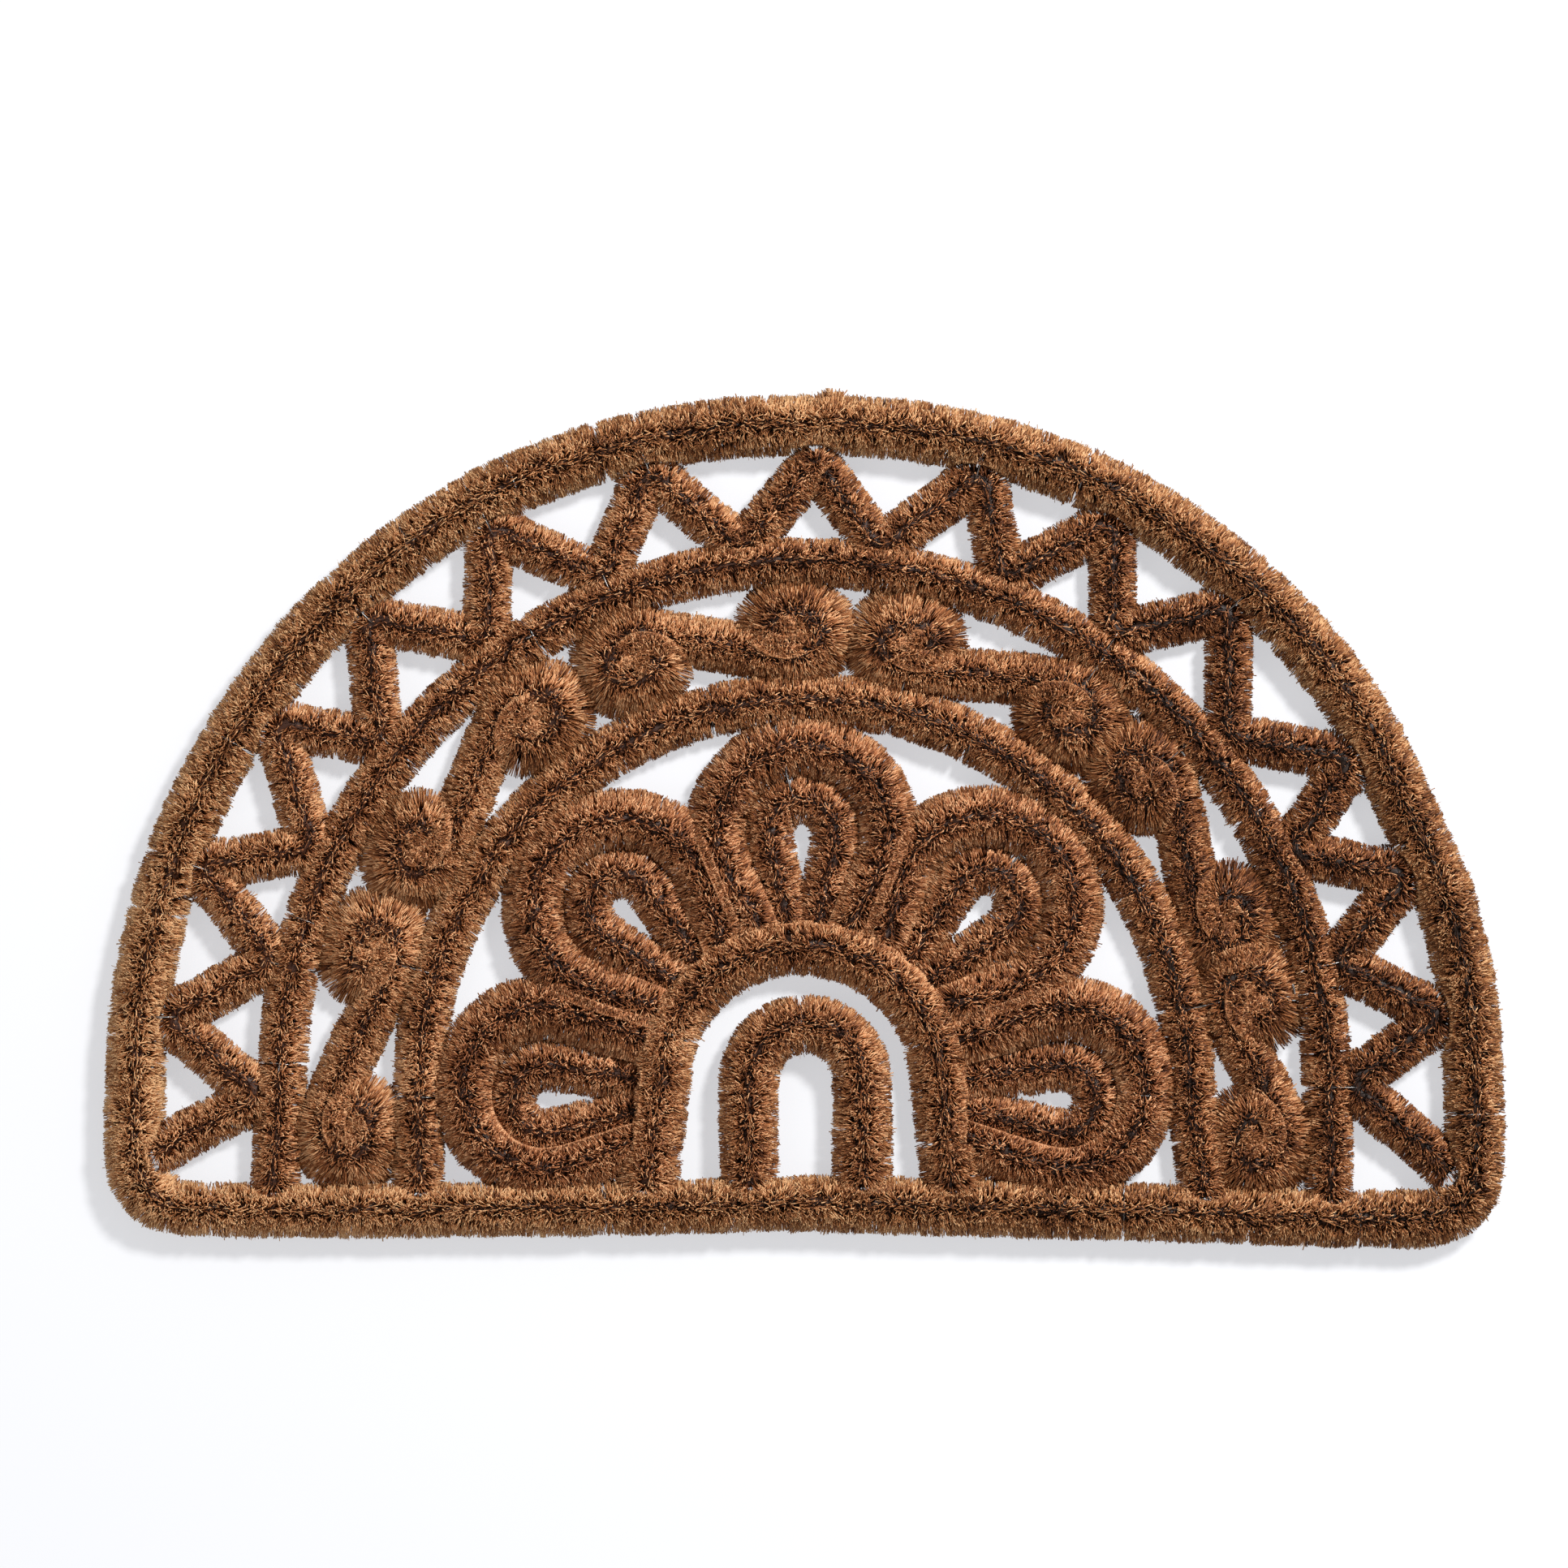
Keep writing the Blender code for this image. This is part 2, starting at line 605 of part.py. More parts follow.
make_rim()
make_ties()
make_split_arch("outer_arch", outer_arch)
make_split_arch("middle_arch", middle_arch)
make_arch("inner_arch", inner_arch, INNER_ARCH_HALF)
make_arch("doorway_arch", doorway, DOORWAY_HALF)
make_zigzag("left", ZIGZAG_LEFT_TURNS, ("top_left", "bottom_left"), -1)
make_zigzag("right", ZIGZAG_RIGHT_TURNS, ("bottom_right", "top_right"), 1)
for number, (first, second, outer_first) in enumerate(SCROLLS, start=1):
    make_scroll(f"scroll_{number}", first, second, outer_first, lowest_scrolls.get(number, ()))
make_petals()
settle()
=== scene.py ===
"""Looks of a half-moon door mat: coir bristles in twisted wire, tied with thin wire.

Every strip's shape comes from the frame: its line is read from the CAD wire core, and its size
from the CAD bristle sleeve. The bristles are real geometry, many thousands of thin slivers.
Lengths are metres, angles about the arch centre are degrees anticlockwise from +X.
"""
import math

import bpy
import numpy as np
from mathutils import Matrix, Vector
from mathutils.kdtree import KDTree


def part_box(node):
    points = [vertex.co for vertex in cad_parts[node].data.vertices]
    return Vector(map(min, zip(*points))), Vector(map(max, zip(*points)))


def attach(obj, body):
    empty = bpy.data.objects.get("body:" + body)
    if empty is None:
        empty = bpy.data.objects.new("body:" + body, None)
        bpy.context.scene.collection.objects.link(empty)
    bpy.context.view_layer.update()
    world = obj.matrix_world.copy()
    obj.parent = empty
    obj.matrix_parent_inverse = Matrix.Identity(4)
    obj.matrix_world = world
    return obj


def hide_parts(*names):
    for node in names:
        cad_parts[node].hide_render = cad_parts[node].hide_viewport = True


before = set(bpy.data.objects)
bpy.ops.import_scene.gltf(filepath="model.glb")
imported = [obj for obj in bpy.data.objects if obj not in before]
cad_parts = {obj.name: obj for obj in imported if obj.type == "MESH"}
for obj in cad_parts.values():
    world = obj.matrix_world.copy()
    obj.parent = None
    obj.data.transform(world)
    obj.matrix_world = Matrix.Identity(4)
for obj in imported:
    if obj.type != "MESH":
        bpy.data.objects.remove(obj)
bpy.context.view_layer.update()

MM = 0.001
FULL_TURN = 2 * math.pi
TIE_SEED = 20
STRIP_SEED = 120              # the first strip's, and each later strip's is one more

# Reading the frame.
POINT_DECIMALS = 5            # corners that agree to this many decimals are one corner
CAP_RISE = 0.2                # an end cap stands upright: its normal rises less than this
CURVE_STEPS = 3               # finer steps on a smooth curve for each step of its result
END_SPAN = 3                  # points from a line's end that give the line's direction there
BEND_WINDOW = 7               # points over which a line's bend is averaged
ROOM_WINDOW = 5               # points over which the room beside a line is averaged
ROOM_ROWS = 64                # points compared with all the wires at a time
OWN_DISTANCE = 7.0 * MM       # a wire nearer than this is the strip's own
LEAST_SIDE = 0.02 * MM        # a wire less far to the side than this is ahead or behind
FREE_ROOM = 1.0               # room where there is no wire on that side
MOST_ROOM = 30.0 * MM         # more than any brush needs
LEAST_DIVISOR = 1e-9          # keeps clear of dividing by zero

# Bristles.
BRISTLES_PER_MM2 = 0.72       # on the surface of a straight brush
BRISTLE_ROOT = 0.40           # where a bristle starts, as a share of the brush radius
BRISTLE_WIDTH = 0.29 * MM     # half-width
WIDTH_RANGE = (0.7, 1.3)      # of a bristle, over BRISTLE_WIDTH
CLUMP_AREA = 7.0              # mm2 of the brush surface for each clump
CLUMP_PULL = 0.52             # how far tips gather towards the middle of their clump
PARTING = 0.45                # radians: half-width of the tangled parting on top of a strip
OVERLAP = 2.6 * MM            # how far bristles reach into a neighbouring strip
WIDE_OVERLAP = 6.0 * MM       # the same for the scrolls, and for the arch at the petals' feet
CROWDING = (0.35, 2.0)        # least and most bristles at a bend, over those on a straight brush
UNDERSIDE = ((0, 1.0), (95, 1.0), (135, 0.4), (180, 0.15))   # degrees from up, share of bristles
SQUEEZE_RISE = 1.2            # how far a bristle rises for each length that it's pushed inwards
LEAST_RISE = 0.6              # a pushed bristle may rise to this share of the brush radius
LOWEST_TIP = 0.6 * MM         # above the floor

# How bristles differ: the spread between clumps, and between the bristles in one clump.
LEAN_SPREAD = (0.09, 0.07)    # along the wire, over the brush radius
TURN_SPREAD = (0.08, 0.06)    # radians round the wire
REACH_SPREAD = (0.022, 0.020)
TONE_SPREAD = (0.13, 0.23)
STRIP_TONE_SPREAD = 0.03
MIDDLE_TONE = 0.5
# What the tangle at the parting adds to them, and the painted shade in the parting's valley.
TANGLED_LEAN = 3.0            # times the spread between bristles
TANGLED_TURN = 4.0            # the same
TANGLED_SIDE = 0.12           # radians away from the parting
# darker tone at the parting: painted shade in the valley along the top of the strip
PARTING_SHADE_TONE = -0.10

# Slow changes along a strip: their size and their wavelength.
WAVES = 6                     # added up in each ripple
WAVE_SUM = 2.4                # the usual size of their sum
MOST_WAVES_ROUND = 2          # the wire, either way
PARTING_RIPPLES = ((0.20, 30.0 * MM), (0.12, 9.0 * MM))
LEAN_RIPPLE = (0.07, 70.0 * MM)
REACH_RIPPLE = (0.018, 35.0 * MM)
TONE_RIPPLE = (0.10, 14.0 * MM)
HEART_RIPPLE = (0.07, 5.0 * MM)

# Strays, wear, ends and ties.
STRAY_SHARE = 0.012           # of the bristles, those that stick out
STRAY_REACH = (1.04, 1.15)    # their least and most length, over the brush radius
STRAY_TONE = 0.35             # how much paler they are
PALE_TONE = 0.32              # how much paler a worn place is
PALE_HALF_LENGTH = 9.0 * MM
FOOT_SPLAY = 0.35             # how far the last bristles lean outwards at a foot
SEAM_SPLAY = 0.08             # and at a seam
SPLAY_LENGTH = 9.0 * MM
TIE_PINCH = 0.24              # how much shorter the bristles are right under a tie
TIE_PINCH_LENGTH = 0.9 * MM
TIE_LEAN = 0.16               # how far the bristles beside a tie lean away from it
TIE_LEAN_LENGTH = 2.5 * MM

# The heart of a strip: packed fibre round its wire, coloured dark as painted shade between the
# bristles.
HEART_SHARE = 0.52            # its radius, as a share of the brush radius
HEART_SIDES = 10
# The heart takes the root's colour and a low tone: painted shade between the bristles, over packed
# fibre.
HEART_ALONG = 0.0             # its place from root (0) to tip (1) for the colour
HEART_SHADE_TONE = 0.28
HEART_UV = 0.05               # share of the UV square for the heart
HEART_UV_FILL = 0.9           # how much of that share it fills
CELL_EDGES = (0.1, 0.9)       # sides of a bristle's UV within its cell

# Wires.
WIRE_SIDES = 6
STEEP = 0.8                   # a wire that rises more than this is measured from +X, not from up
STRAND_RADIUS = 1.05 * MM
STRAND_STEP = 2               # points of the strip's line for each ring of a strand
TWIST_PITCH = 15.0 * MM       # length of one turn of the twisted pair of wires
TIE_RADIUS = 0.42 * MM
LONGEST_TIE = 31.0 * MM       # wires further apart than this are not tied to each other
TIE_SEARCH = 2.5              # degrees round a tie's angle in which its two wires are closest
TIE_POINTS = 28
TIE_RISE = (0.42, 0.62)       # height of a tie over its wires, over the brush radius
TIE_DROP = 3.2 * MM           # how far it goes under them
TIE_SIDE_POWER = 0.7          # below 1, these make the loop's outline squarer
TIE_HEIGHT_POWER = 0.6
TIE_SWAYS = (0.5 * MM, 0.3 * MM)
PAIR_REACH = 2.0 * MM         # how far a tie goes past two wires
SINGLE_REACH = 1.0 * MM       # and past the sides of a single brush
SINGLE_SHARE = 0.55           # of that brush's radius
TAIL_SHARE = 0.2              # of the ties, those whose twisted ends show
TAIL_POINTS = 22
TAIL_LENGTHS = (4.0, 6.5)     # mm
TAIL_BEND = 2.4               # radians of the arc that it rises and falls through
TAIL_RISE = 2.0 * MM
TAIL_TWIST = 5 * math.pi
TAIL_OFFSET = 0.9             # of each strand from the tail's middle, over the tie's radius
TAIL_THICKNESS = 0.85         # of each strand, over the tie's radius
TAIL_FOOT = 0.92              # height of the tail's start, over the tie's height
WINDING_TURNS = 5
WINDING_POINTS = 14           # for each turn
WINDING_PITCH = 2.3           # over the tie wire's radius
WINDING_GAP = 1.1             # from the strands to the winding's middle, over its wire's radius

# Shades of coir by their place on the colour ramp, from the darkest roots, dark with dirt and with
# painted shade deep in the brush, to the palest tips.
COIR_SHADES = (
    (0.10, (0.016, 0.0062, 0.0022)),
    (0.36, (0.062, 0.0195, 0.0062)),
    (0.57, (0.195, 0.068, 0.0205)),
    (0.80, (0.480, 0.205, 0.074)),
    (1.00, (0.82, 0.50, 0.25)),
)
# How much each of these moves a bristle along the ramp.
# The darkening towards the root is partly dirt and partly painted shade where the brush is deep.
ROOT_DIRT_AND_SHADE_GAIN = 0.50
TONE_GAIN = 0.66
PATCH_GAIN = 0.28
BLEACH_GAIN = -0.29           # for each metre to the right
# For each slot: where its shades start on the ramp, and its tint.
COIR_SLOTS = {
    "coir_rim": (-0.12, (1.0, 0.95, 0.93)),
    "coir_pattern": (-0.14, (1.0, 0.89, 0.87)),
    "coir_petals": (-0.14, (1.0, 0.87, 0.87)),
}
PATCH_SCALE = 22.0
PATCH_DETAIL = 3.0
GRAIN_SCALE = 1400.0
PLAIN_DETAIL = 2.0
COIR_ROUGHNESS = (0.35, 0.34)   # gain on the grain, and least
COIR_SPECULAR = 0.25
GRAIN_STRENGTH = 0.25
GRAIN_DEPTH = 0.2 * MM
CORE_COLOUR = (0.62, 0.63, 0.66)
TIE_COLOUR = (0.34, 0.33, 0.32)
SPOT_SCALE = 320.0
SPOT_DETAIL = 4.0
SPOT_SHADE = 0.45             # a weathered spot's colour over the clean metal's
SPOT_EDGES = (0.35, 0.62)     # noise below the first is a spot, above the second clean
WIRE_ROUGHNESS = (0.4, 0.2)   # gain on the spots, and least

# Floor, lights and camera. Each light has a name, a place, a size and its watts.
FLOOR_HALF = 4.0
FLOOR_COLOUR = (0.36, 0.363, 0.37, 1.0)
FLOOR_ROUGHNESS = 0.9
FLOOR_GLOW = (0.95, 0.96, 1.0, 1.0)
FLOOR_GLOW_STRENGTH = 0.56
WORLD_COLOUR = (1.0, 1.0, 1.0, 1.0)
WORLD_STRENGTH = 0.40
LIGHTS = (("key", (1.1, 1.2, 2.4), 0.45, 95.0), ("fill", (-1.8, -0.6, 2.4), 2.0, 10.0))
CAMERA_PLACE = (-0.0109, 0.0192, 3.0)
SHOWN_WIDTH = 0.842           # of the floor, in the picture
SENSOR_WIDTH = 36.0
CLIP_END = 20.0

# For each kind of strip: half its width outside and inside its bend, over its CAD sleeve's
# half-height, and how far its bristles go past its wire at a foot and at a seam.
STYLES = {
    "rim": (0.97, 1.06, 0.0, 3.6 * MM),
    "outer": (0.93, 1.14, 9.0 * MM, 0.9 * MM),
    "middle": (1.12, 1.08, 9.0 * MM, 0.9 * MM),
    "inner": (1.10, 1.05, 9.0 * MM, 0.0),
    "doorway": (0.97, 1.03, 8.0 * MM, 0.0),
    "zigzag": (1.05, 1.05, 15.0 * MM, 11.0 * MM),
    "petal": (1.25, 1.15, 16.0 * MM, 16.0 * MM),
    "petal_1_outer": (1.16, 1.30, 20.0 * MM, 20.0 * MM),
    "petal_2_outer": (1.17, 1.15, 20.0 * MM, 20.0 * MM),
    "petal_3_outer": (1.17, 1.15, 20.0 * MM, 20.0 * MM),
    "petal_4_outer": (1.17, 1.15, 20.0 * MM, 20.0 * MM),
    "petal_5_outer": (1.16, 1.30, 20.0 * MM, 20.0 * MM),
    "scroll": (1.20, 1.20, 2.5 * MM, 2.5 * MM),
}
FOOT_Y = -0.15                # a strip that ends below this stands on the bottom bar
BAR_GAIN = 1.07               # the bottom bar's width over its CAD sleeve's
BAR_LEVEL = 0.9               # the bar runs sideways: more than this of its direction is along X
CURL_GAIN = 0.58              # how much wider a scroll's brush is in its curls than in its link
CURL_BEND = 1 / (30 * MM)     # a wire bent tighter than this is in a curl
CURL_START = 0.3              # share of that bend at which the brush starts to widen
CORNER_PUSH = 38 * MM ** 2    # how far the zigzag's turns run into the brushes beside them, x bend

# Ties: the strips that each one joins, or one strip that it is wound round, and its angle.
TIES = (
    ("rim_top_right", None, 65.2), ("rim_top_right", "zigzag_right", 23.8),
    ("rim_bottom_right", None, -2.6), ("rim_top_left", None, 149.1),
    ("rim_top_left", None, 165.2), ("rim_top_left", None, 115.6),
    ("rim_top_left", None, 107.8), ("rim_top_left", "zigzag_left", 102.6),
    ("rim_top_left", None, 126.0), ("rim_bottom_left", None, 212.4),
    ("rim_bottom_left", None, 192.0), ("rim_bottom_right", None, -21.8),
    ("rim_bottom_right", None, -13.7), ("rim_top_left", "zigzag_left", 119.4),
    ("rim_top_left", "zigzag_left", 133.2), ("rim_top_right", "zigzag_right", 48.2),
    ("rim_top_right", "zigzag_right", 73.9), ("rim_top_left", "zigzag_left", 90.5),
    ("rim_top_left", "zigzag_left", 160.2), ("rim_bottom_left", "zigzag_left", 174.4),
    ("outer_arch_left", "zigzag_left", 140.8), ("outer_arch_left", "zigzag_left", 111.9),
    ("outer_arch_left", "zigzag_left", 166.8), ("outer_arch_right", "zigzag_right", 55.4),
    ("outer_arch_right", "zigzag_right", 12.9), ("outer_arch_right", "zigzag_right", 0.5),
    ("outer_arch_left", "scroll_1", 175.4), ("outer_arch_left", None, 161.8),
    ("outer_arch_left", "scroll_2", 118.6), ("outer_arch_right", "scroll_4", 66.0),
    ("outer_arch_right", "scroll_4", 54.6), ("outer_arch_right", "scroll_5", 39.8),
    ("outer_arch_right", None, 30.9), ("outer_arch_right", "scroll_6", 7.7),
    ("middle_arch_left", "scroll_1", 163.3), ("middle_arch_left", "petal_1_inner", 181.5),
    ("middle_arch_left", "scroll_3", 106.5), ("middle_arch_left", "petal_3_outer", 91.6),
    ("middle_arch_right", "scroll_4", 76.8), ("middle_arch_right", None, 63.8),
    ("middle_arch_right", "scroll_5", 32.5), ("middle_arch_right", "scroll_6", 13.4),
    ("middle_arch_right", "rim_bottom_right", -14.0), ("inner_arch", "petal_3_inner", 94.0),
    ("inner_arch", None, 159.4), ("inner_arch", "petal_5_outer", 20.6),
    ("inner_arch", "petal_5_outer", -24.5), ("inner_arch", "petal_1_outer", 206.8),
    ("doorway_arch", None, 92.0), ("doorway_arch", "rim_bottom_left", 238.0),
    ("petal_5_outer", None, -2.0), ("petal_4_outer", "petal_4_inner", 44.8),
    ("petal_3_outer", "petal_3_inner", 91.6),
)

# Worn pale places: a strip, and an angle about the arch centre.
PALE_PATCHES = (
    ("rim_top_left", 165.2), ("inner_arch", 159.4), ("outer_arch_right", 50.6),
    ("middle_arch_left", 178.0), ("rim_top_left", 90.8),
)
# The last tuft before the rim's top seam is longer than the rest.
TUFT = ("rim_top_right", 87.6, 5.0 * MM, 0.20)   # strip, angle, half-length and share added


# Reading the frame -----------------------------------------------------------------------------

def lengths(vectors):
    """Each vector's length, in a column."""
    return np.linalg.norm(vectors, axis=1)[:, None]


def mesh_arrays(node):
    """A CAD node's corner points and triangles, with split corners joined."""
    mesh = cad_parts[node].data
    points = np.empty(len(mesh.vertices) * 3, np.float32)
    mesh.vertices.foreach_get("co", points)
    points = points.reshape(-1, 3).astype(float)
    mesh.calc_loop_triangles()
    corners = np.empty(len(mesh.loop_triangles) * 3, np.int32)
    mesh.loop_triangles.foreach_get("vertices", corners)
    rounded = np.round(points, POINT_DECIMALS)
    _, first, same = np.unique(rounded, axis=0, return_index=True, return_inverse=True)
    return points[first], same.reshape(-1)[corners].reshape(-1, 3)


def end_cap(points, triangles):
    """Corners of one of a wire core's two end caps."""
    sides = np.cross(points[triangles[:, 1]] - points[triangles[:, 0]],
                     points[triangles[:, 2]] - points[triangles[:, 0]])
    upright = np.abs(sides[:, 2]) < CAP_RISE * np.linalg.norm(sides, axis=1)
    caps = triangles[upright]
    ring = set(caps[0])
    grown = True
    while grown:
        larger = ring.union(*(set(cap) for cap in caps if ring & set(cap)))
        grown = len(larger) > len(ring)
        ring = larger
    return ring


def core_line(node):
    """Centres of a wire core's rings, in order from one end cap to the other."""
    points, triangles = mesh_arrays(node)
    near = [set() for _ in points]
    for a, b, c in triangles:
        near[a] |= {b, c}
        near[b] |= {a, c}
        near[c] |= {a, b}
    ring = end_cap(points, triangles)
    seen = set(ring)
    centres = []
    while ring:
        centres.append(points[list(ring)].mean(axis=0))
        ring = set().union(*(near[point] for point in ring)) - seen
        seen |= ring
    return np.array(centres)


def curve_piece(p0, p1, p2, p3, step):
    """Points from p1 to just before p2 on a centripetal Catmull-Rom curve."""
    t0 = 0.0
    t1 = t0 + math.sqrt(np.linalg.norm(p1 - p0))
    t2 = t1 + math.sqrt(np.linalg.norm(p2 - p1))
    t3 = t2 + math.sqrt(np.linalg.norm(p3 - p2))
    count = max(2, int(np.linalg.norm(p2 - p1) / (step / CURVE_STEPS)))
    t = np.linspace(t1, t2, count, endpoint=False)[:, None]
    a1 = (t1 - t) / (t1 - t0) * p0 + (t - t0) / (t1 - t0) * p1
    a2 = (t2 - t) / (t2 - t1) * p1 + (t - t1) / (t2 - t1) * p2
    a3 = (t3 - t) / (t3 - t2) * p2 + (t - t2) / (t3 - t2) * p3
    b1 = (t2 - t) / (t2 - t0) * a1 + (t - t0) / (t2 - t0) * a2
    b2 = (t3 - t) / (t3 - t1) * a2 + (t - t1) / (t3 - t1) * a3
    return (t2 - t) / (t2 - t1) * b1 + (t - t1) / (t2 - t1) * b2


def smooth_line(points, step):
    """Points a step apart on a smooth curve through the given points."""
    ends = np.vstack([2 * points[0] - points[1], points, 2 * points[-1] - points[-2]])
    pieces = [curve_piece(*four, step) for four in zip(ends, ends[1:], ends[2:], ends[3:])]
    dense = np.vstack(pieces + [points[-1:]])
    run = np.concatenate([[0.0], np.cumsum(np.linalg.norm(np.diff(dense, axis=0), axis=1))])
    places = np.linspace(0.0, run[-1], max(3, int(round(run[-1] / step)) + 1))
    return np.stack([np.interp(places, run, dense[:, axis]) for axis in range(3)], axis=1)


def stretched(line, before, after):
    """A line made longer at both ends, in millimetre steps."""
    def more(end, inner, distance):
        steps = np.arange(1, int(round(distance / MM)) + 1)[:, None]
        way = (end - inner) / np.linalg.norm(end - inner)
        return end + way * steps * MM

    first = more(line[0], line[END_SPAN], before)[::-1]
    last = more(line[-1], line[-1 - END_SPAN], after)
    return np.vstack([first, line, last])


def averaged(values, window):
    """A row of values, each the mean of those round it."""
    padded = np.pad(values, window // 2, mode="edge")
    return np.convolve(padded, np.ones(window) / window, mode="valid")


def style_of(name):
    """The most particular style whose name a strip's name starts with."""
    parts = name.split("_")
    keys = ["_".join(parts[:count]) for count in range(len(parts), 0, -1)]
    return next(STYLES[key] for key in keys if key in STYLES)


class Strip:
    """One brush strip: its line, a millimetre a point, and the room beside it."""

    def __init__(self, name):
        self.name = name
        self.wire = smooth_line(core_line(name + "_wire"), MM)
        low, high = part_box(name + "_coir")
        outside, inside, foot, seam = style_of(name)
        self.high = (high.z - low.z) / 2
        is_petal = name.startswith("petal")
        self.feet = [is_petal or end[1] < FOOT_Y for end in self.wire[[0, -1]]]
        self.line = stretched(self.wire, *(foot if is_foot else seam for is_foot in self.feet))
        self.measure()
        if name.startswith("zigzag"):
            self.line = self.line - self.across * self.bend[:, None] * CORNER_PUSH
            self.measure()
        self.count = len(self.line)
        self.length = (self.count - 1) * MM
        gains = (inside, outside) if self.bend.mean() > 0 else (outside, inside)
        self.wide = np.tile(gains, (self.count, 1)) * self.high
        if name.startswith("rim_bottom"):
            on_bar = (self.line[:, 1] < FOOT_Y) & (np.abs(self.along[:, 0]) > BAR_LEVEL)
            self.wide[on_bar] = (self.wire[:, 1].min() - low.y) * BAR_GAIN
        if name.startswith("scroll"):
            curled = np.clip(np.abs(self.bend) / CURL_BEND - CURL_START, 0.0, 1.0)
            self.wide += self.high * CURL_GAIN * curled[:, None]
        reaches_over = name.startswith(("scroll", "inner_arch"))
        self.overlap = WIDE_OVERLAP if reaches_over else OVERLAP
        self.room = None
        self.ties = []
        self.pale = []
        self.tufts = []

    def measure(self):
        """Directions along and across the line, and how sharply it bends to its left."""
        along = np.gradient(self.line, axis=0)
        self.along = along / lengths(along)
        self.across = np.stack([-self.along[:, 1], self.along[:, 0], 0 * self.along[:, 0]], axis=1)
        bend = (np.gradient(self.along, axis=0) * self.across).sum(axis=1) / MM
        self.bend = averaged(bend, BEND_WINDOW)


def beside_room(strip, others):
    """Distance from the strip's line, left and right, to the line halfway to the next wire."""
    room = np.full((strip.count, 2), FREE_ROOM)
    for start in range(0, strip.count, ROOM_ROWS):
        rows = slice(start, start + ROOM_ROWS)
        gap = others[None, :, :2] - strip.line[rows, None, :2]
        square = (gap ** 2).sum(axis=2)
        side = (gap * strip.across[rows, None, :2]).sum(axis=2)
        far = square > OWN_DISTANCE ** 2
        for column, sign in enumerate((1.0, -1.0)):
            usable = far & (side * sign > LEAST_SIDE)
            halfway = square / np.maximum(2 * side * sign, LEAST_DIVISOR)
            room[rows, column] = np.where(usable, halfway, FREE_ROOM).min(axis=1)
    room = np.minimum(room, MOST_ROOM)
    return np.stack([averaged(room[:, side], ROOM_WINDOW) for side in (0, 1)], axis=1)


# Meshes ----------------------------------------------------------------------------------------

def triangle_mesh(name, points, triangles):
    """A smooth-shaded mesh from arrays."""
    mesh = bpy.data.meshes.new(name)
    mesh.vertices.add(len(points))
    mesh.vertices.foreach_set("co", np.asarray(points, np.float32).ravel())
    mesh.loops.add(len(triangles) * 3)
    mesh.polygons.add(len(triangles))
    mesh.polygons.foreach_set("loop_start", np.arange(0, len(triangles) * 3, 3, dtype=np.int32))
    mesh.loops.foreach_set("vertex_index", np.asarray(triangles, np.int32).ravel())
    mesh.polygons.foreach_set("use_smooth", np.full(len(triangles), True))
    mesh.update(calc_edges=True)
    return mesh


def set_values(mesh, name, values):
    """Store a number for each point, for the material to read."""
    layer = mesh.attributes.new(name, "FLOAT", "POINT")
    layer.data.foreach_set("value", np.asarray(values, np.float32))


def set_uv(mesh, uv):
    """Store the mesh's own unwrapping, as the UV layer named OFBake."""
    layer = mesh.uv_layers.new(name="OFBake")
    layer.data.foreach_set("uv", np.asarray(uv, np.float32).ravel())


def add_piece(name, mesh, material, slot, *replaced):
    """Put a mesh in the scene as a piece that stands for the replaced CAD nodes, if any."""
    piece = bpy.data.objects.new(name, mesh)
    bpy.context.scene.collection.objects.link(piece)
    mesh.materials.append(material)
    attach(piece, "root")
    if replaced:
        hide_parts(*replaced)


def tube_frames(line, closed):
    """Two directions square to a line at each of its points, with no twist between points."""
    along = np.gradient(line, axis=0)
    if closed:
        along = np.roll(line, -1, axis=0) - np.roll(line, 1, axis=0)
    along /= lengths(along)
    guide = np.where(np.abs(along[:, 2:3]) < STEEP, [[0.0, 0.0, 1.0]], [[1.0, 0.0, 0.0]])
    first = np.cross(guide, along)
    for i in range(1, len(first)):
        side = first[i - 1] - along[i] * (first[i - 1] @ along[i])
        first[i] = side / np.linalg.norm(side)
    first[0] /= np.linalg.norm(first[0])
    return first, np.cross(along, first)


def tube_faces(count, sides, closed):
    """Triangles between the rings of a tube, and over its ends if it's open."""
    rows = np.arange(count if closed else count - 1)[:, None] * sides
    next_rows = (rows + sides) % (count * sides)
    here = np.arange(sides)[None, :]
    after = (here + 1) % sides
    corners = [rows + here, rows + after, next_rows + after, next_rows + here]
    quads = np.stack(corners, axis=2).reshape(-1, 4)
    triangles = [quads[:, [0, 1, 2]], quads[:, [0, 2, 3]]]
    if not closed:
        last = (count - 1) * sides
        fan = np.arange(1, sides - 1)
        triangles.append(np.stack([0 * fan, fan + 1, fan], axis=1))
        triangles.append(np.stack([0 * fan + last, fan + last, fan + 1 + last], axis=1))
    return np.vstack(triangles)


def tube_arrays(line, radius, closed=False):
    """A round wire along a line: points and triangles."""
    line = np.asarray(line, float)
    first, second = tube_frames(line, closed)
    turn = np.arange(WIRE_SIDES) / WIRE_SIDES * FULL_TURN
    spokes = (np.cos(turn)[None, :, None] * first[:, None]
              + np.sin(turn)[None, :, None] * second[:, None])
    rings = line[:, None] + radius * spokes
    return rings.reshape(-1, 3), tube_faces(len(line), WIRE_SIDES, closed)


def joined(shapes):
    """Several point and triangle arrays as one."""
    points = []
    triangles = []
    total = 0
    for shape_points, shape_triangles in shapes:
        points.append(shape_points)
        triangles.append(shape_triangles + total)
        total += len(shape_points)
    return np.vstack(points), np.vstack(triangles)


# Bristles --------------------------------------------------------------------------------------

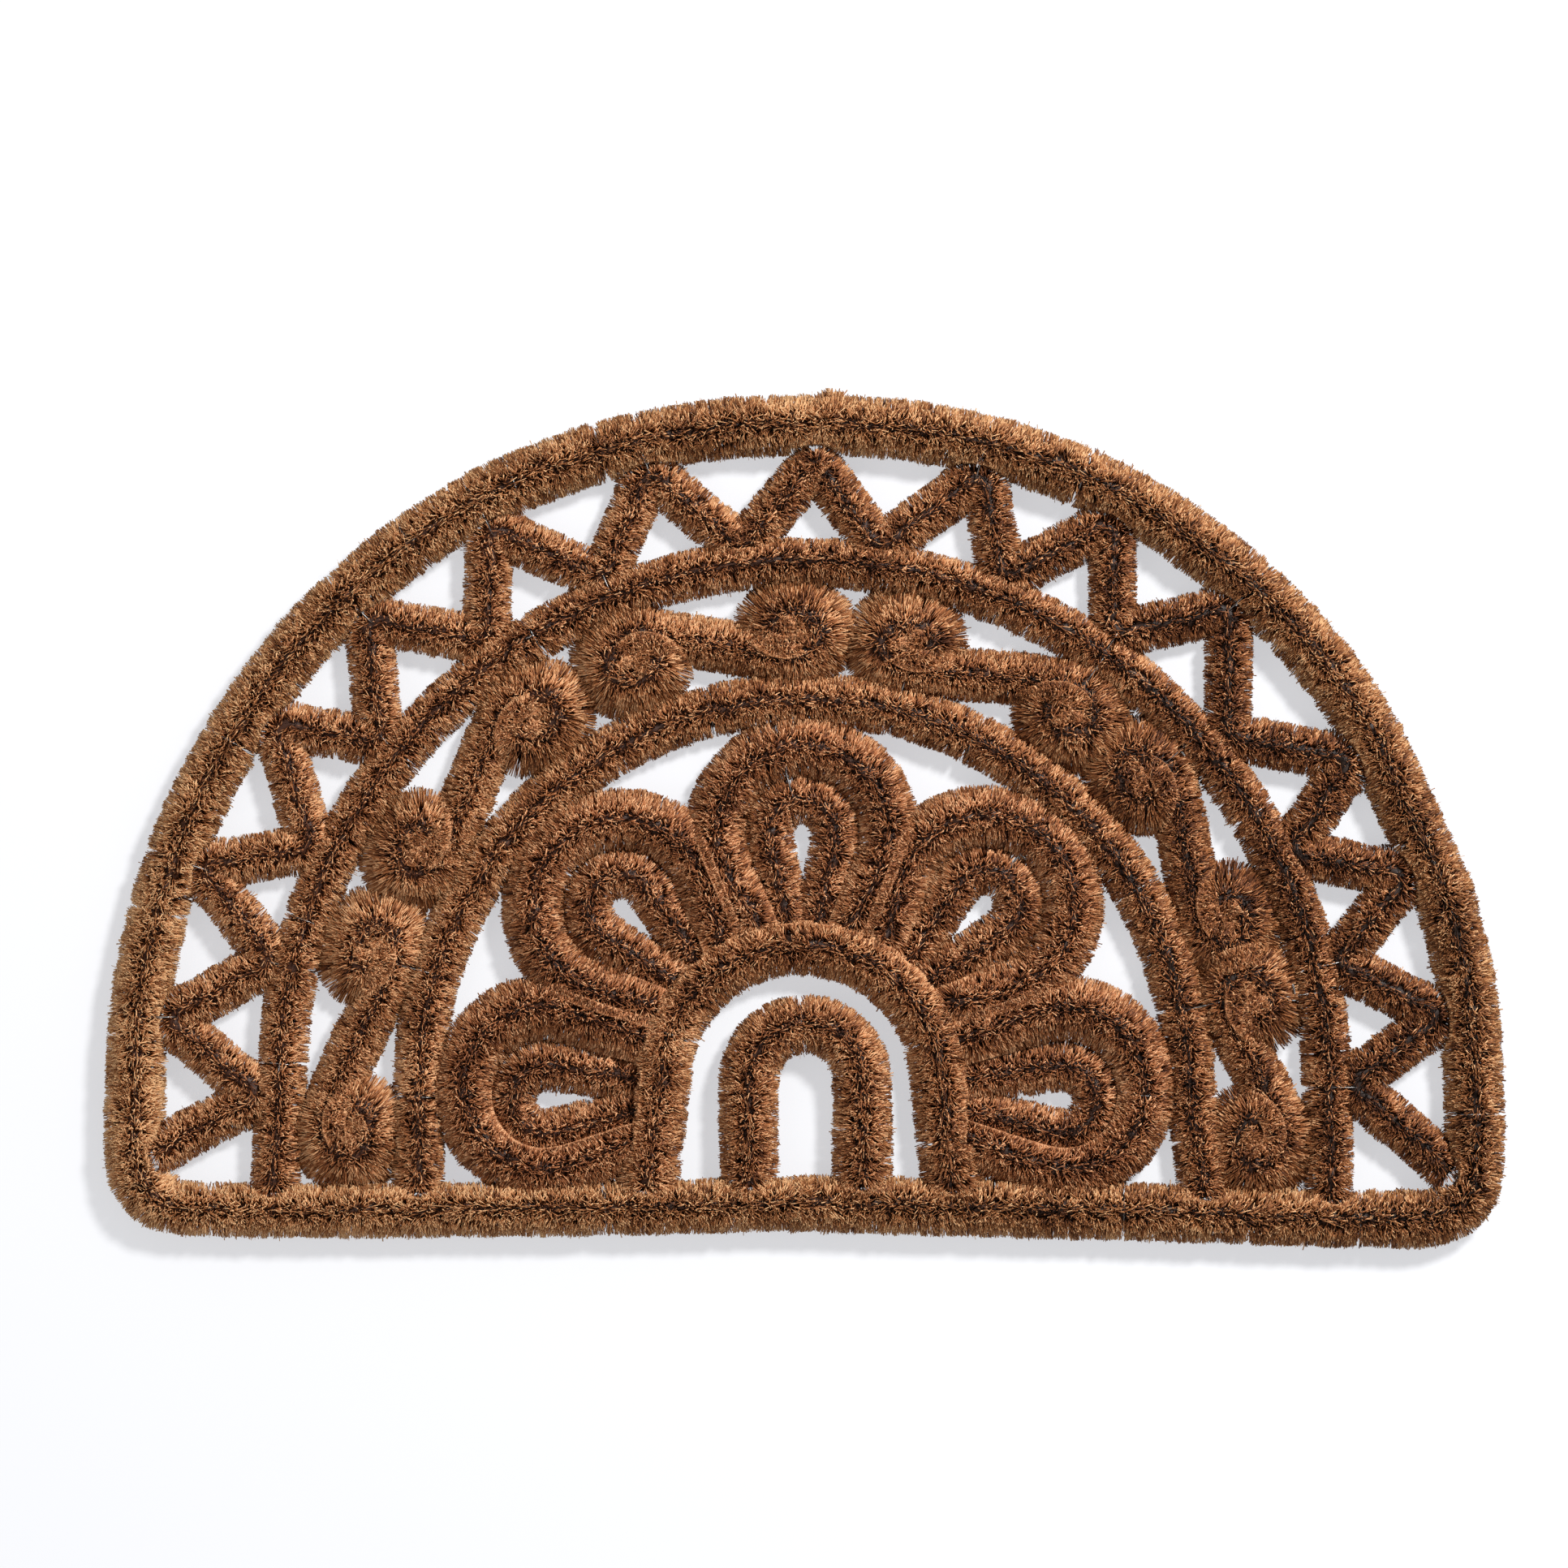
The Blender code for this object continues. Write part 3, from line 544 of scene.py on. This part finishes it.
def ripple(rng, run, angle, size_and_length):
    """Smooth noise over a strip's length and round its wire, about -size to size."""
    size, length = size_and_length
    total = np.zeros_like(run)
    for _ in range(WAVES):
        wave = rng.normal(0.0, FULL_TURN / length)
        turns = rng.integers(-MOST_WAVES_ROUND, MOST_WAVES_ROUND + 1)
        total += np.sin(run * wave + angle * turns + rng.uniform(0.0, FULL_TURN))
    return size * (total / WAVE_SUM)


def at(values, run):
    """A strip's per-millimetre values at each bristle's place."""
    place = np.clip(run / MM, 0, len(values) - 1)
    index = np.minimum(place.astype(int), len(values) - 2)
    share = place - index
    if values.ndim > 1:
        share = share[:, None]
    return values[index] * (1 - share) + values[index + 1] * share


def beside(values, run, side):
    """A strip's left or right value at each bristle's place, by the side that it points to."""
    both = at(values, run)
    return np.where(side > 0, both[:, 0], both[:, 1])


def scatter(strip, rng):
    """Where each bristle starts along the wire, the angle that it points at from up, and how far
    round that is from the parting that wanders along the top."""
    least, most = CROWDING
    around = FULL_TURN * strip.wide.mean() / MM
    tried = int(strip.count * around * BRISTLES_PER_MM2 * most)
    run = rng.uniform(0.0, strip.length, tried)
    angle = rng.uniform(-math.pi, math.pi, tried)
    crowd = 1 - at(strip.bend, run) * beside(strip.wide, run, angle) * np.sin(angle)
    degrees, shares = zip(*UNDERSIDE)
    under = np.interp(np.abs(angle), np.radians(degrees), shares)
    chosen = rng.uniform(0.0, most, tried) < under * np.clip(crowd, least, most)
    run = run[chosen]
    angle = angle[chosen]
    on_top = 0.0 * run
    parting = sum(ripple(rng, run, on_top, part) for part in PARTING_RIPPLES)
    return run, angle, angle - parting


class Clumps:
    """Bristles gathered by the nearest of some scattered clumps."""

    def __init__(self, strip, run, angle, rng):
        wide = strip.wide.mean()
        self.count = int(strip.count * FULL_TURN * wide / MM / CLUMP_AREA)
        middle_run = rng.uniform(0.0, strip.length, self.count)
        middle_angle = rng.uniform(-math.pi, math.pi, self.count)
        tree = KDTree(self.count)
        for number, place in enumerate(zip(middle_run, middle_angle * wide)):
            tree.insert((*place, 0.0), number)
        tree.balance()
        nearest = [tree.find((*place, 0.0))[1] for place in zip(run, angle * wide)]
        self.run = middle_run[nearest]
        self.angle = middle_angle[nearest]
        self.number = np.array(nearest)

    def spread(self, widths, rng, looser=1.0):
        """Random differences from clump to clump, and from bristle to bristle in a clump."""
        by_clump, by_bristle = widths
        between = rng.normal(0.0, by_clump, self.count)[self.number]
        return between + rng.normal(0.0, by_bristle, len(self.number)) * looser


def brush_offset(strip, run, angle, reach):
    """From the wire to a place in the brush: what neighbours leave no room for turns upward."""
    side = beside(strip.wide, run, angle) * reach * np.sin(angle)
    height = strip.high * reach * np.cos(angle)
    limit = beside(strip.room, run, angle) + strip.overlap
    excess = np.maximum(np.abs(side) - limit, 0.0)
    side = np.sign(side) * np.minimum(np.abs(side), limit)
    ceiling = strip.high * np.maximum(reach, LEAST_RISE)
    return side, np.minimum(height + excess * SQUEEZE_RISE, ceiling)


def bristle_habits(run, angle, off, clumps, rng):
    """Each bristle's lean along the wire, turn round it, reach and tone."""
    tangle_and_shade = np.exp(-(off / PARTING) ** 2)
    lean = clumps.spread(LEAN_SPREAD, rng, 1 + TANGLED_LEAN * tangle_and_shade)
    lean = lean + ripple(rng, run, angle, LEAN_RIPPLE)
    turn = clumps.spread(TURN_SPREAD, rng, 1 + TANGLED_TURN * tangle_and_shade)
    turn = turn + TANGLED_SIDE * np.sign(off) * tangle_and_shade
    reach = 1.0 + clumps.spread(REACH_SPREAD, rng)
    tone = MIDDLE_TONE + clumps.spread(TONE_SPREAD, rng)
    # the darker tone at the parting is painted shade in its valley
    tone = tone + ripple(rng, run, angle, TONE_RIPPLE) + PARTING_SHADE_TONE * tangle_and_shade
    tone = tone + rng.normal(0.0, STRIP_TONE_SPREAD)
    reach = reach + ripple(rng, run, angle, REACH_RIPPLE)
    return lean, turn, reach, tone


def worn(strip, run, angle, reach, tone, rng):
    """Reach and tone with the strip's pale places, long tufts and stray bristles."""
    for place in strip.pale:
        tone = tone + PALE_TONE * np.exp(-((run - place) / PALE_HALF_LENGTH) ** 2)
    for place, half_length, share in strip.tufts:
        outward = -np.sign(strip.bend.mean())
        grown = share * np.exp(-((run - place) / half_length) ** 4)
        reach = reach + np.where(angle * outward > 0, grown, 0.0)
    count = len(run)
    stray = rng.uniform(0, 1, count) < STRAY_SHARE
    reach = np.where(stray, rng.uniform(*STRAY_REACH, count), reach)
    return reach, np.where(stray, tone + STRAY_TONE, tone)


def held(strip, run, lean, reach):
    """Lean and reach with the splay at the strip's ends and the pinch of its ties."""
    for is_foot, distance, sign in zip(strip.feet, (run, strip.length - run), (-1, 1)):
        splay = FOOT_SPLAY if is_foot else SEAM_SPLAY
        lean = lean + sign * splay * np.clip(1 - distance / SPLAY_LENGTH, 0, 1)
    for place in strip.ties:
        past = run - place
        close = np.abs(past)
        reach = reach * (1 - TIE_PINCH * np.exp(-(close / TIE_PINCH_LENGTH) ** 2))
        lean = lean + np.sign(past) * TIE_LEAN * np.exp(-close / TIE_LEAN_LENGTH)
    return lean, reach


def bristle_ends(strip, rng):
    """Root and tip of every bristle, with its tone."""
    run, angle, off = scatter(strip, rng)
    clumps = Clumps(strip, run, angle, rng)
    lean, turn, reach, tone = bristle_habits(run, angle, off, clumps, rng)
    reach, tone = worn(strip, run, angle, reach, tone, rng)
    lean, reach = held(strip, run, lean, reach)
    tip_angle = angle + CLUMP_PULL * (clumps.angle - angle) + turn
    tip_slide = CLUMP_PULL * (clumps.run - run) + lean * strip.high
    centre = at(strip.line, run)
    along = at(strip.along, run)
    across = at(strip.across, run)
    ends = []
    for end_angle, end_reach, slide in ((angle, np.full(len(run), BRISTLE_ROOT), 0.0 * run),
                                        (tip_angle, reach, tip_slide)):
        side, height = brush_offset(strip, run, end_angle, end_reach)
        point = centre + across * side[:, None] + along * slide[:, None]
        point[:, 2] = np.maximum(point[:, 2] + height, LOWEST_TIP)
        ends.append(point)
    return ends[0], ends[1], np.clip(tone, 0.0, 1.0)


def bristle_arrays(root, tip, rng):
    """Slivers with a straight edge at the root and another, a quarter turn on, at the tip."""
    count = len(root)
    direction = tip - root
    direction /= lengths(direction)
    first = np.cross(direction, rng.normal(size=(count, 3)))
    first /= lengths(first)
    second = np.cross(direction, first)
    width = BRISTLE_WIDTH * rng.uniform(*WIDTH_RANGE, count)[:, None]
    points = np.stack([root - first * width, root + first * width,
                       tip - second * width, tip + second * width], axis=1)
    pattern = np.array([[0, 1, 2], [0, 3, 1], [0, 2, 3], [1, 3, 2]])
    triangles = pattern[None] + np.arange(count)[:, None, None] * 4
    return points.reshape(-1, 3), triangles.reshape(-1, 3)


def bristle_uv(count):
    """A cell of the unit square for each bristle, root at its bottom and tip at its top."""
    columns = max(1, int(math.sqrt(count)))
    rows = math.ceil(count / columns)
    cell = np.arange(count)
    near, far = CELL_EDGES
    across = np.array([near, far, near, far])
    up = np.array([near, near, far, far])
    u = ((cell % columns)[:, None] + across) / columns
    v = HEART_UV + (1 - HEART_UV) * ((cell // columns)[:, None] + up) / rows
    return np.stack([u.ravel(), v.ravel()], axis=1)


def heart_arrays(strip, rng):
    """The heart of a strip, a lumpy bar round its wire, dark with painted shade between the bristles:
    points, triangles and UV.
    """
    rings = max(3, strip.count // 2)
    ring_run = np.linspace(0.0, strip.count - 1, rings) * MM
    share_round = np.arange(HEART_SIDES) / HEART_SIDES
    run = np.repeat(ring_run, HEART_SIDES)
    angle = np.tile(share_round * FULL_TURN, rings)
    share = HEART_SHARE * (1 + ripple(rng, run, angle, HEART_RIPPLE))
    side, height = brush_offset(strip, run, angle, share)
    points = at(strip.line, run) + at(strip.across, run) * side[:, None]
    points[:, 2] += height
    triangles = tube_faces(rings, HEART_SIDES, False)[:, ::-1]
    v = np.tile(share_round, rings) * HEART_UV * HEART_UV_FILL
    return points, triangles, np.stack([run / strip.length, v], axis=1)


def make_bristles(strip, material, slot, rng):
    """A strip's bristles and heart as one piece, in place of its CAD sleeve."""
    root, tip, tone = bristle_ends(strip, rng)
    bristles = bristle_arrays(root, tip, rng)
    heart_points, heart_triangles, heart_uv = heart_arrays(strip, rng)
    points, triangles = joined([bristles, (heart_points, heart_triangles)])
    mesh = triangle_mesh(strip.name + "_bristles", points, triangles)
    along = np.tile([0.0, 0.0, 1.0, 1.0], len(root))
    heart = np.ones(len(heart_points))
    set_values(mesh, "along", np.concatenate([along, heart * HEART_ALONG]))
    # the heart's dark tone is painted shade between the bristles
    set_values(mesh, "tone", np.concatenate([np.repeat(tone, 4), heart * HEART_SHADE_TONE]))
    uv = np.vstack([bristle_uv(len(root)), heart_uv])
    set_uv(mesh, uv[triangles.ravel()])
    add_piece(strip.name + "_bristles", mesh, material, slot, strip.name + "_coir")


# Wires -----------------------------------------------------------------------------------------

def twisted_pair(strip):
    """The two strands that grip the bristles, twisted round each other."""
    line = strip.wire[::STRAND_STEP]
    along = np.gradient(line, axis=0)
    along /= lengths(along)
    across = np.stack([-along[:, 1], along[:, 0], 0 * along[:, 0]], axis=1)
    turn = np.arange(len(line)) * STRAND_STEP * MM * FULL_TURN / TWIST_PITCH
    shapes = []
    for half in (0.0, math.pi):
        offset = across * np.cos(turn + half)[:, None]
        offset[:, 2] += np.sin(turn + half)
        shapes.append(tube_arrays(line + offset * STRAND_RADIUS, STRAND_RADIUS))
    return joined(shapes)


def make_core(strip, material):
    """A strip's twisted pair of wires, in place of its CAD core."""
    mesh = triangle_mesh(strip.name + "_twist", *twisted_pair(strip))
    add_piece(strip.name + "_twist", mesh, material, "galvanised_wire", strip.name + "_wire")


def arch_centre(strip):
    """Centre of the circle that fits the upper half of an arch."""
    line = strip.wire[strip.wire[:, 1] > strip.wire[:, 1].mean()]
    sides = np.stack([2 * line[:, 0], 2 * line[:, 1], np.ones(len(line))], axis=1)
    fit = np.linalg.lstsq(sides, (line[:, :2] ** 2).sum(axis=1), rcond=None)[0]
    return fit[:2]


def off_angle(strip, angle, centre):
    """How many degrees each of a strip's points is from an angle about the centre."""
    offset = strip.line[:, :2] - centre
    facing = np.degrees(np.arctan2(offset[:, 1], offset[:, 0]))
    return np.abs((facing - angle + 180.0) % 360.0 - 180.0)


def nearest_place(strip, angle, centre):
    """Index of the strip's point nearest to an angle."""
    return int(off_angle(strip, angle, centre).argmin())


def closest_places(strip, other, angle, centre):
    """Indices of the closest points of two strips, near an angle."""
    mine = off_angle(strip, angle, centre)
    theirs = off_angle(other, angle, centre)
    first = np.flatnonzero(mine < mine.min() + TIE_SEARCH)
    second = np.flatnonzero(theirs < theirs.min() + TIE_SEARCH)
    gap = np.linalg.norm(strip.line[first][:, None] - other.line[second][None], axis=2)
    a, b = np.unravel_index(gap.argmin(), gap.shape)
    return int(first[a]), int(second[b])


def signed_power(values, power):
    """A power of each value's size, with the value's sign."""
    return np.sign(values) * np.abs(values) ** power


def tie_loop(start, end, reach, rise, rng):
    """A loop of thin wire round two places: over the top, and back under the cores."""
    middle = (start + end) / 2
    side = end - start
    side[2] = 0.0
    half = np.linalg.norm(side) / 2 + reach
    side /= np.linalg.norm(side)
    forward = np.array([-side[1], side[0], 0.0])
    turn = np.linspace(0.0, FULL_TURN, TIE_POINTS, endpoint=False)
    bulge = signed_power(np.cos(turn), TIE_SIDE_POWER)
    height = signed_power(np.sin(turn), TIE_HEIGHT_POWER)
    height = height * np.where(np.sin(turn) > 0, rise, TIE_DROP)
    along_sway, double_sway = TIE_SWAYS
    sway = rng.normal(0.0, along_sway) * np.cos(turn)
    sway = sway + rng.normal(0.0, double_sway) * np.sin(2 * turn)
    loop = middle + bulge[:, None] * half * side + sway[:, None] * forward
    loop[:, 2] += height
    return loop


def tie_tail(start, side, forward, rng):
    """The tie's two ends, twisted together and bent over."""
    run = np.linspace(0.0, 1.0, TAIL_POINTS)
    length = rng.uniform(*TAIL_LENGTHS) * MM
    spine = start + forward * (run * length)[:, None]
    spine[:, 2] += np.sin(run * TAIL_BEND) * TAIL_RISE
    shapes = []
    for half in (0.0, math.pi):
        turn = run * TAIL_TWIST + half
        offset = side * np.cos(turn)[:, None]
        offset[:, 2] += np.sin(turn)
        strand = spine + offset * TIE_RADIUS * TAIL_OFFSET
        shapes.append(tube_arrays(strand, TIE_RADIUS * TAIL_THICKNESS))
    return shapes


def tie_places(strip, other, angle, centre):
    """The two places that a tie goes round, and how far it goes past them."""
    if other:
        mine, theirs = closest_places(strip, other, angle, centre)
        start = strip.line[mine]
        end = other.line[theirs]
        strip.ties.append(mine * MM)
        if np.linalg.norm(start - end) <= LONGEST_TIE:
            other.ties.append(theirs * MM)
            return start, end, PAIR_REACH
    else:
        mine = nearest_place(strip, angle, centre)
        strip.ties.append(mine * MM)
    half = strip.across[mine] * strip.high * SINGLE_SHARE
    return strip.line[mine] - half, strip.line[mine] + half, SINGLE_REACH


def make_ties(strips, material, rng):
    """All the thin tie wires, gathered into one piece for each band of the pattern."""
    groups = {}
    centre = arch_centre(strips["middle_arch_left"])
    for first, second, angle in TIES:
        strip = strips[first]
        start, end, reach = tie_places(strip, strips.get(second), angle, centre)
        rise = strip.high * rng.uniform(*TIE_RISE)
        loop = tie_loop(start, end, reach, rise, rng)
        shapes = [tube_arrays(loop, TIE_RADIUS, closed=True)]
        side = end - start
        side /= np.linalg.norm(side)
        forward = np.array([-side[1], side[0], 0.0]) * rng.choice([-1, 1])
        if rng.uniform() < TAIL_SHARE:
            top = (start + end) / 2 + np.array([0.0, 0.0, rise * TAIL_FOOT])
            shapes += tie_tail(top, side, forward, rng)
        groups.setdefault(first.split("_")[0], []).extend(shapes)
    for group, shapes in groups.items():
        mesh = triangle_mesh(group + "_tie_wires", *joined(shapes))
        add_piece(group + "_tie_wires", mesh, material, "galvanised_wire")


def mark_wear(strips):
    """Tell the strips where they are worn pale, and where the rim's long tuft is."""
    centre = arch_centre(strips["middle_arch_left"])
    for name, angle in PALE_PATCHES:
        strips[name].pale.append(nearest_place(strips[name], angle, centre) * MM)
    name, angle, half_length, share = TUFT
    place = nearest_place(strips[name], angle, centre) * MM
    strips[name].tufts.append((place, half_length, share))


def winding_line(centre, along):
    """Close turns of a thin wire round a place on a strip."""
    across = np.array([-along[1], along[0], 0.0])
    t = np.linspace(0.0, 1.0, WINDING_TURNS * WINDING_POINTS)
    spin = t * WINDING_TURNS * FULL_TURN
    radius = 2 * STRAND_RADIUS + TIE_RADIUS * WINDING_GAP
    offset = across * np.cos(spin)[:, None] * radius
    offset[:, 2] += np.sin(spin) * radius
    return centre + along * ((t - 0.5) * WINDING_TURNS * WINDING_PITCH * TIE_RADIUS)[:, None] + offset


def make_rim_ties(strips, material):
    """Close turns of thin wire over each butt joint of the rim."""
    rims = [strip for strip in strips.values() if strip.name.startswith("rim")]
    for name in ("bottom", "right", "top", "left"):
        node = "rim_tie_" + name
        low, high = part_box(node)
        centre = np.array([(a + b) / 2 for a, b in zip(low, high)])
        distances = [np.linalg.norm(strip.line - centre, axis=1) for strip in rims]
        best = min(range(len(rims)), key=lambda i: distances[i].min())
        along = rims[best].along[distances[best].argmin()]
        mesh = triangle_mesh(node + "_winding", *tube_arrays(winding_line(centre, along), TIE_RADIUS))
        add_piece(node + "_winding", mesh, material, "galvanised_wire", node)


# Materials -------------------------------------------------------------------------------------

class Looks:
    """A new material, with short ways to add nodes to it."""

    def __init__(self, name):
        self.material = bpy.data.materials.new(name)
        self.material.use_nodes = True
        self.nodes = self.material.node_tree.nodes
        self.links = self.material.node_tree.links
        self.shader = self.nodes["Principled BSDF"].inputs

    def add(self, kind, **settings):
        """A new node with some of its settings changed."""
        node = self.nodes.new(kind)
        for name, value in settings.items():
            setattr(node, name, value)
        return node

    def math(self, operation, first, second):
        """A sum or product of two values, each a number or another node's output."""
        node = self.add("ShaderNodeMath", operation=operation)
        for socket, value in zip(node.inputs, (first, second)):
            if isinstance(value, float):
                socket.default_value = value
            else:
                self.links.new(value, socket)
        return node.outputs[0]

    def attribute(self, name):
        """One of the numbers stored with the mesh's points."""
        return self.add("ShaderNodeAttribute", attribute_name=name).outputs["Fac"]

    def noise(self, place, scale, detail):
        """Noise fixed to the object."""
        node = self.add("ShaderNodeTexNoise")
        node.inputs["Scale"].default_value = scale
        node.inputs["Detail"].default_value = detail
        self.links.new(place, node.inputs["Vector"])
        return node.outputs["Fac"]

    def ramp(self, value, shades):
        """A colour ramp through (place, colour) shades."""
        node = self.add("ShaderNodeValToRGB")
        self.links.new(value, node.inputs["Fac"])
        stops = node.color_ramp.elements
        for stop, (place, colour) in ((stops[0], shades[0]), (stops[1], shades[-1])):
            stop.position = place
            stop.color = (*colour, 1.0)
        for place, colour in shades[1:-1]:
            stops.new(place).color = (*colour, 1.0)
        return node.outputs["Color"]

    def rough(self, value, gain_and_least):
        """Roughness that follows a value."""
        gain, least = gain_and_least
        rough = self.math("ADD", self.math("MULTIPLY", value, gain), least)
        self.links.new(rough, self.shader["Roughness"])


def coir_material(name, shift, tint_colour):
    """Coconut fibre: dark at the root, partly from dirt and partly as painted shade deep in the
    brush, lighter at the cut tip, every bristle its own shade. The mat is a little bleached towards
    its left."""
    looks = Looks(name)
    place = looks.add("ShaderNodeTexCoord").outputs["Object"]
    parts = looks.add("ShaderNodeSeparateXYZ")
    looks.links.new(place, parts.inputs["Vector"])
    fac = shift
    # root to tip: the darker roots are partly dirt, partly painted shade deep in the brush
    for value, gain in ((looks.attribute("along"), ROOT_DIRT_AND_SHADE_GAIN),
                        (parts.outputs["X"], BLEACH_GAIN),
                        (looks.attribute("tone"), TONE_GAIN),
                        (looks.noise(place, PATCH_SCALE, PATCH_DETAIL), PATCH_GAIN)):
        fac = looks.math("ADD", looks.math("MULTIPLY", value, gain), fac)
    tint = looks.add("ShaderNodeMix", data_type="RGBA", blend_type="MULTIPLY")
    tint.inputs["Factor"].default_value = 1.0
    looks.links.new(looks.ramp(fac, COIR_SHADES), tint.inputs["A"])
    tint.inputs["B"].default_value = (*tint_colour, 1.0)
    looks.links.new(tint.outputs["Result"], looks.shader["Base Color"])
    grain = looks.noise(place, GRAIN_SCALE, PLAIN_DETAIL)
    looks.rough(grain, COIR_ROUGHNESS)
    bump = looks.add("ShaderNodeBump")
    bump.inputs["Strength"].default_value = GRAIN_STRENGTH
    bump.inputs["Distance"].default_value = GRAIN_DEPTH
    looks.links.new(grain, bump.inputs["Height"])
    looks.links.new(bump.outputs["Normal"], looks.shader["Normal"])
    looks.shader["Specular IOR Level"].default_value = COIR_SPECULAR
    return looks.material


def wire_material(name, colour):
    """Galvanised wire: dull grey metal with darker weathered patches."""
    looks = Looks(name)
    place = looks.add("ShaderNodeTexCoord").outputs["Object"]
    spots = looks.noise(place, SPOT_SCALE, SPOT_DETAIL)
    dark = tuple(value * SPOT_SHADE for value in colour)
    shades = tuple(zip(SPOT_EDGES, (dark, colour)))
    looks.links.new(looks.ramp(spots, shades), looks.shader["Base Color"])
    looks.rough(spots, WIRE_ROUGHNESS)
    looks.shader["Metallic"].default_value = 1.0
    return looks.material


# Floor, lights and camera ----------------------------------------------------------------------

def make_floor():
    """A plain pale floor. Its glow keeps the mat's shadow as soft as in a bright studio."""
    mesh = bpy.data.meshes.new("floor")
    corners = [(x * FLOOR_HALF, y * FLOOR_HALF, 0) for x, y in ((-1, -1), (1, -1), (1, 1), (-1, 1))]
    mesh.from_pydata(corners, [], [(0, 1, 2, 3)])
    floor = bpy.data.objects.new("floor", mesh)
    bpy.context.scene.collection.objects.link(floor)
    looks = Looks("pale_floor")
    looks.shader["Base Color"].default_value = FLOOR_COLOUR
    looks.shader["Roughness"].default_value = FLOOR_ROUGHNESS
    looks.shader["Emission Color"].default_value = FLOOR_GLOW
    looks.shader["Emission Strength"].default_value = FLOOR_GLOW_STRENGTH
    mesh.materials.append(looks.material)


def make_light(name, place, size, watts):
    """A round lamp that faces the middle of the mat."""
    light = bpy.data.lights.new(name, "AREA")
    light.shape = "DISK"
    light.size = size
    light.energy = watts
    lamp = bpy.data.objects.new(name, light)
    bpy.context.scene.collection.objects.link(lamp)
    lamp.location = place
    lamp.rotation_euler = (-Vector(place)).to_track_quat("-Z", "Y").to_euler()


def make_camera():
    """Straight above the mat, far enough for its sides not to show, +Y up in the picture."""
    camera = bpy.data.cameras.new("camera")
    holder = bpy.data.objects.new("camera", camera)
    bpy.context.scene.collection.objects.link(holder)
    camera.sensor_width = SENSOR_WIDTH
    camera.lens = camera.sensor_width * CAMERA_PLACE[2] / SHOWN_WIDTH
    camera.clip_end = CLIP_END
    holder.location = CAMERA_PLACE
    bpy.context.scene.camera = holder


def make_world():
    """Even white light from all round."""
    world = bpy.data.worlds.new("soft_studio")
    bpy.context.scene.world = world
    world.use_nodes = True
    sky = world.node_tree.nodes["Background"]
    sky.inputs["Color"].default_value = WORLD_COLOUR
    sky.inputs["Strength"].default_value = WORLD_STRENGTH


# Build -----------------------------------------------------------------------------------------

def slot_of(name):
    """The material slot that a strip's bristles belong to."""
    if name.startswith("rim"):
        return "coir_rim"
    if name.startswith("petal"):
        return "coir_petals"
    return "coir_pattern"


def read_strips():
    """All the brush strips of the frame by name, with the room beside each one."""
    coirs = [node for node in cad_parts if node.endswith("_coir")]
    strips = {name: Strip(name) for name in sorted(node.removesuffix("_coir") for node in coirs)}
    wires = np.vstack([strip.line for strip in strips.values()])
    for strip in strips.values():
        strip.room = beside_room(strip, wires)
    return strips


def make_mat():
    """Every piece of the mat."""
    strips = read_strips()
    galvanised = wire_material("galvanised_wire", CORE_COLOUR)
    tie_steel = wire_material("tie_wire", TIE_COLOUR)
    coirs = {slot: coir_material(slot, *look) for slot, look in COIR_SLOTS.items()}
    mark_wear(strips)
    make_ties(strips, tie_steel, np.random.default_rng(TIE_SEED))
    make_rim_ties(strips, tie_steel)
    for number, strip in enumerate(strips.values()):
        slot = slot_of(strip.name)
        make_bristles(strip, coirs[slot], slot, np.random.default_rng(STRIP_SEED + number))
        make_core(strip, galvanised)


make_camera()
make_world()
for light in LIGHTS:
    make_light(*light)
make_floor()
make_mat()

bpy.context.scene.view_settings.view_transform = "Standard"
bpy.context.view_layer.update()
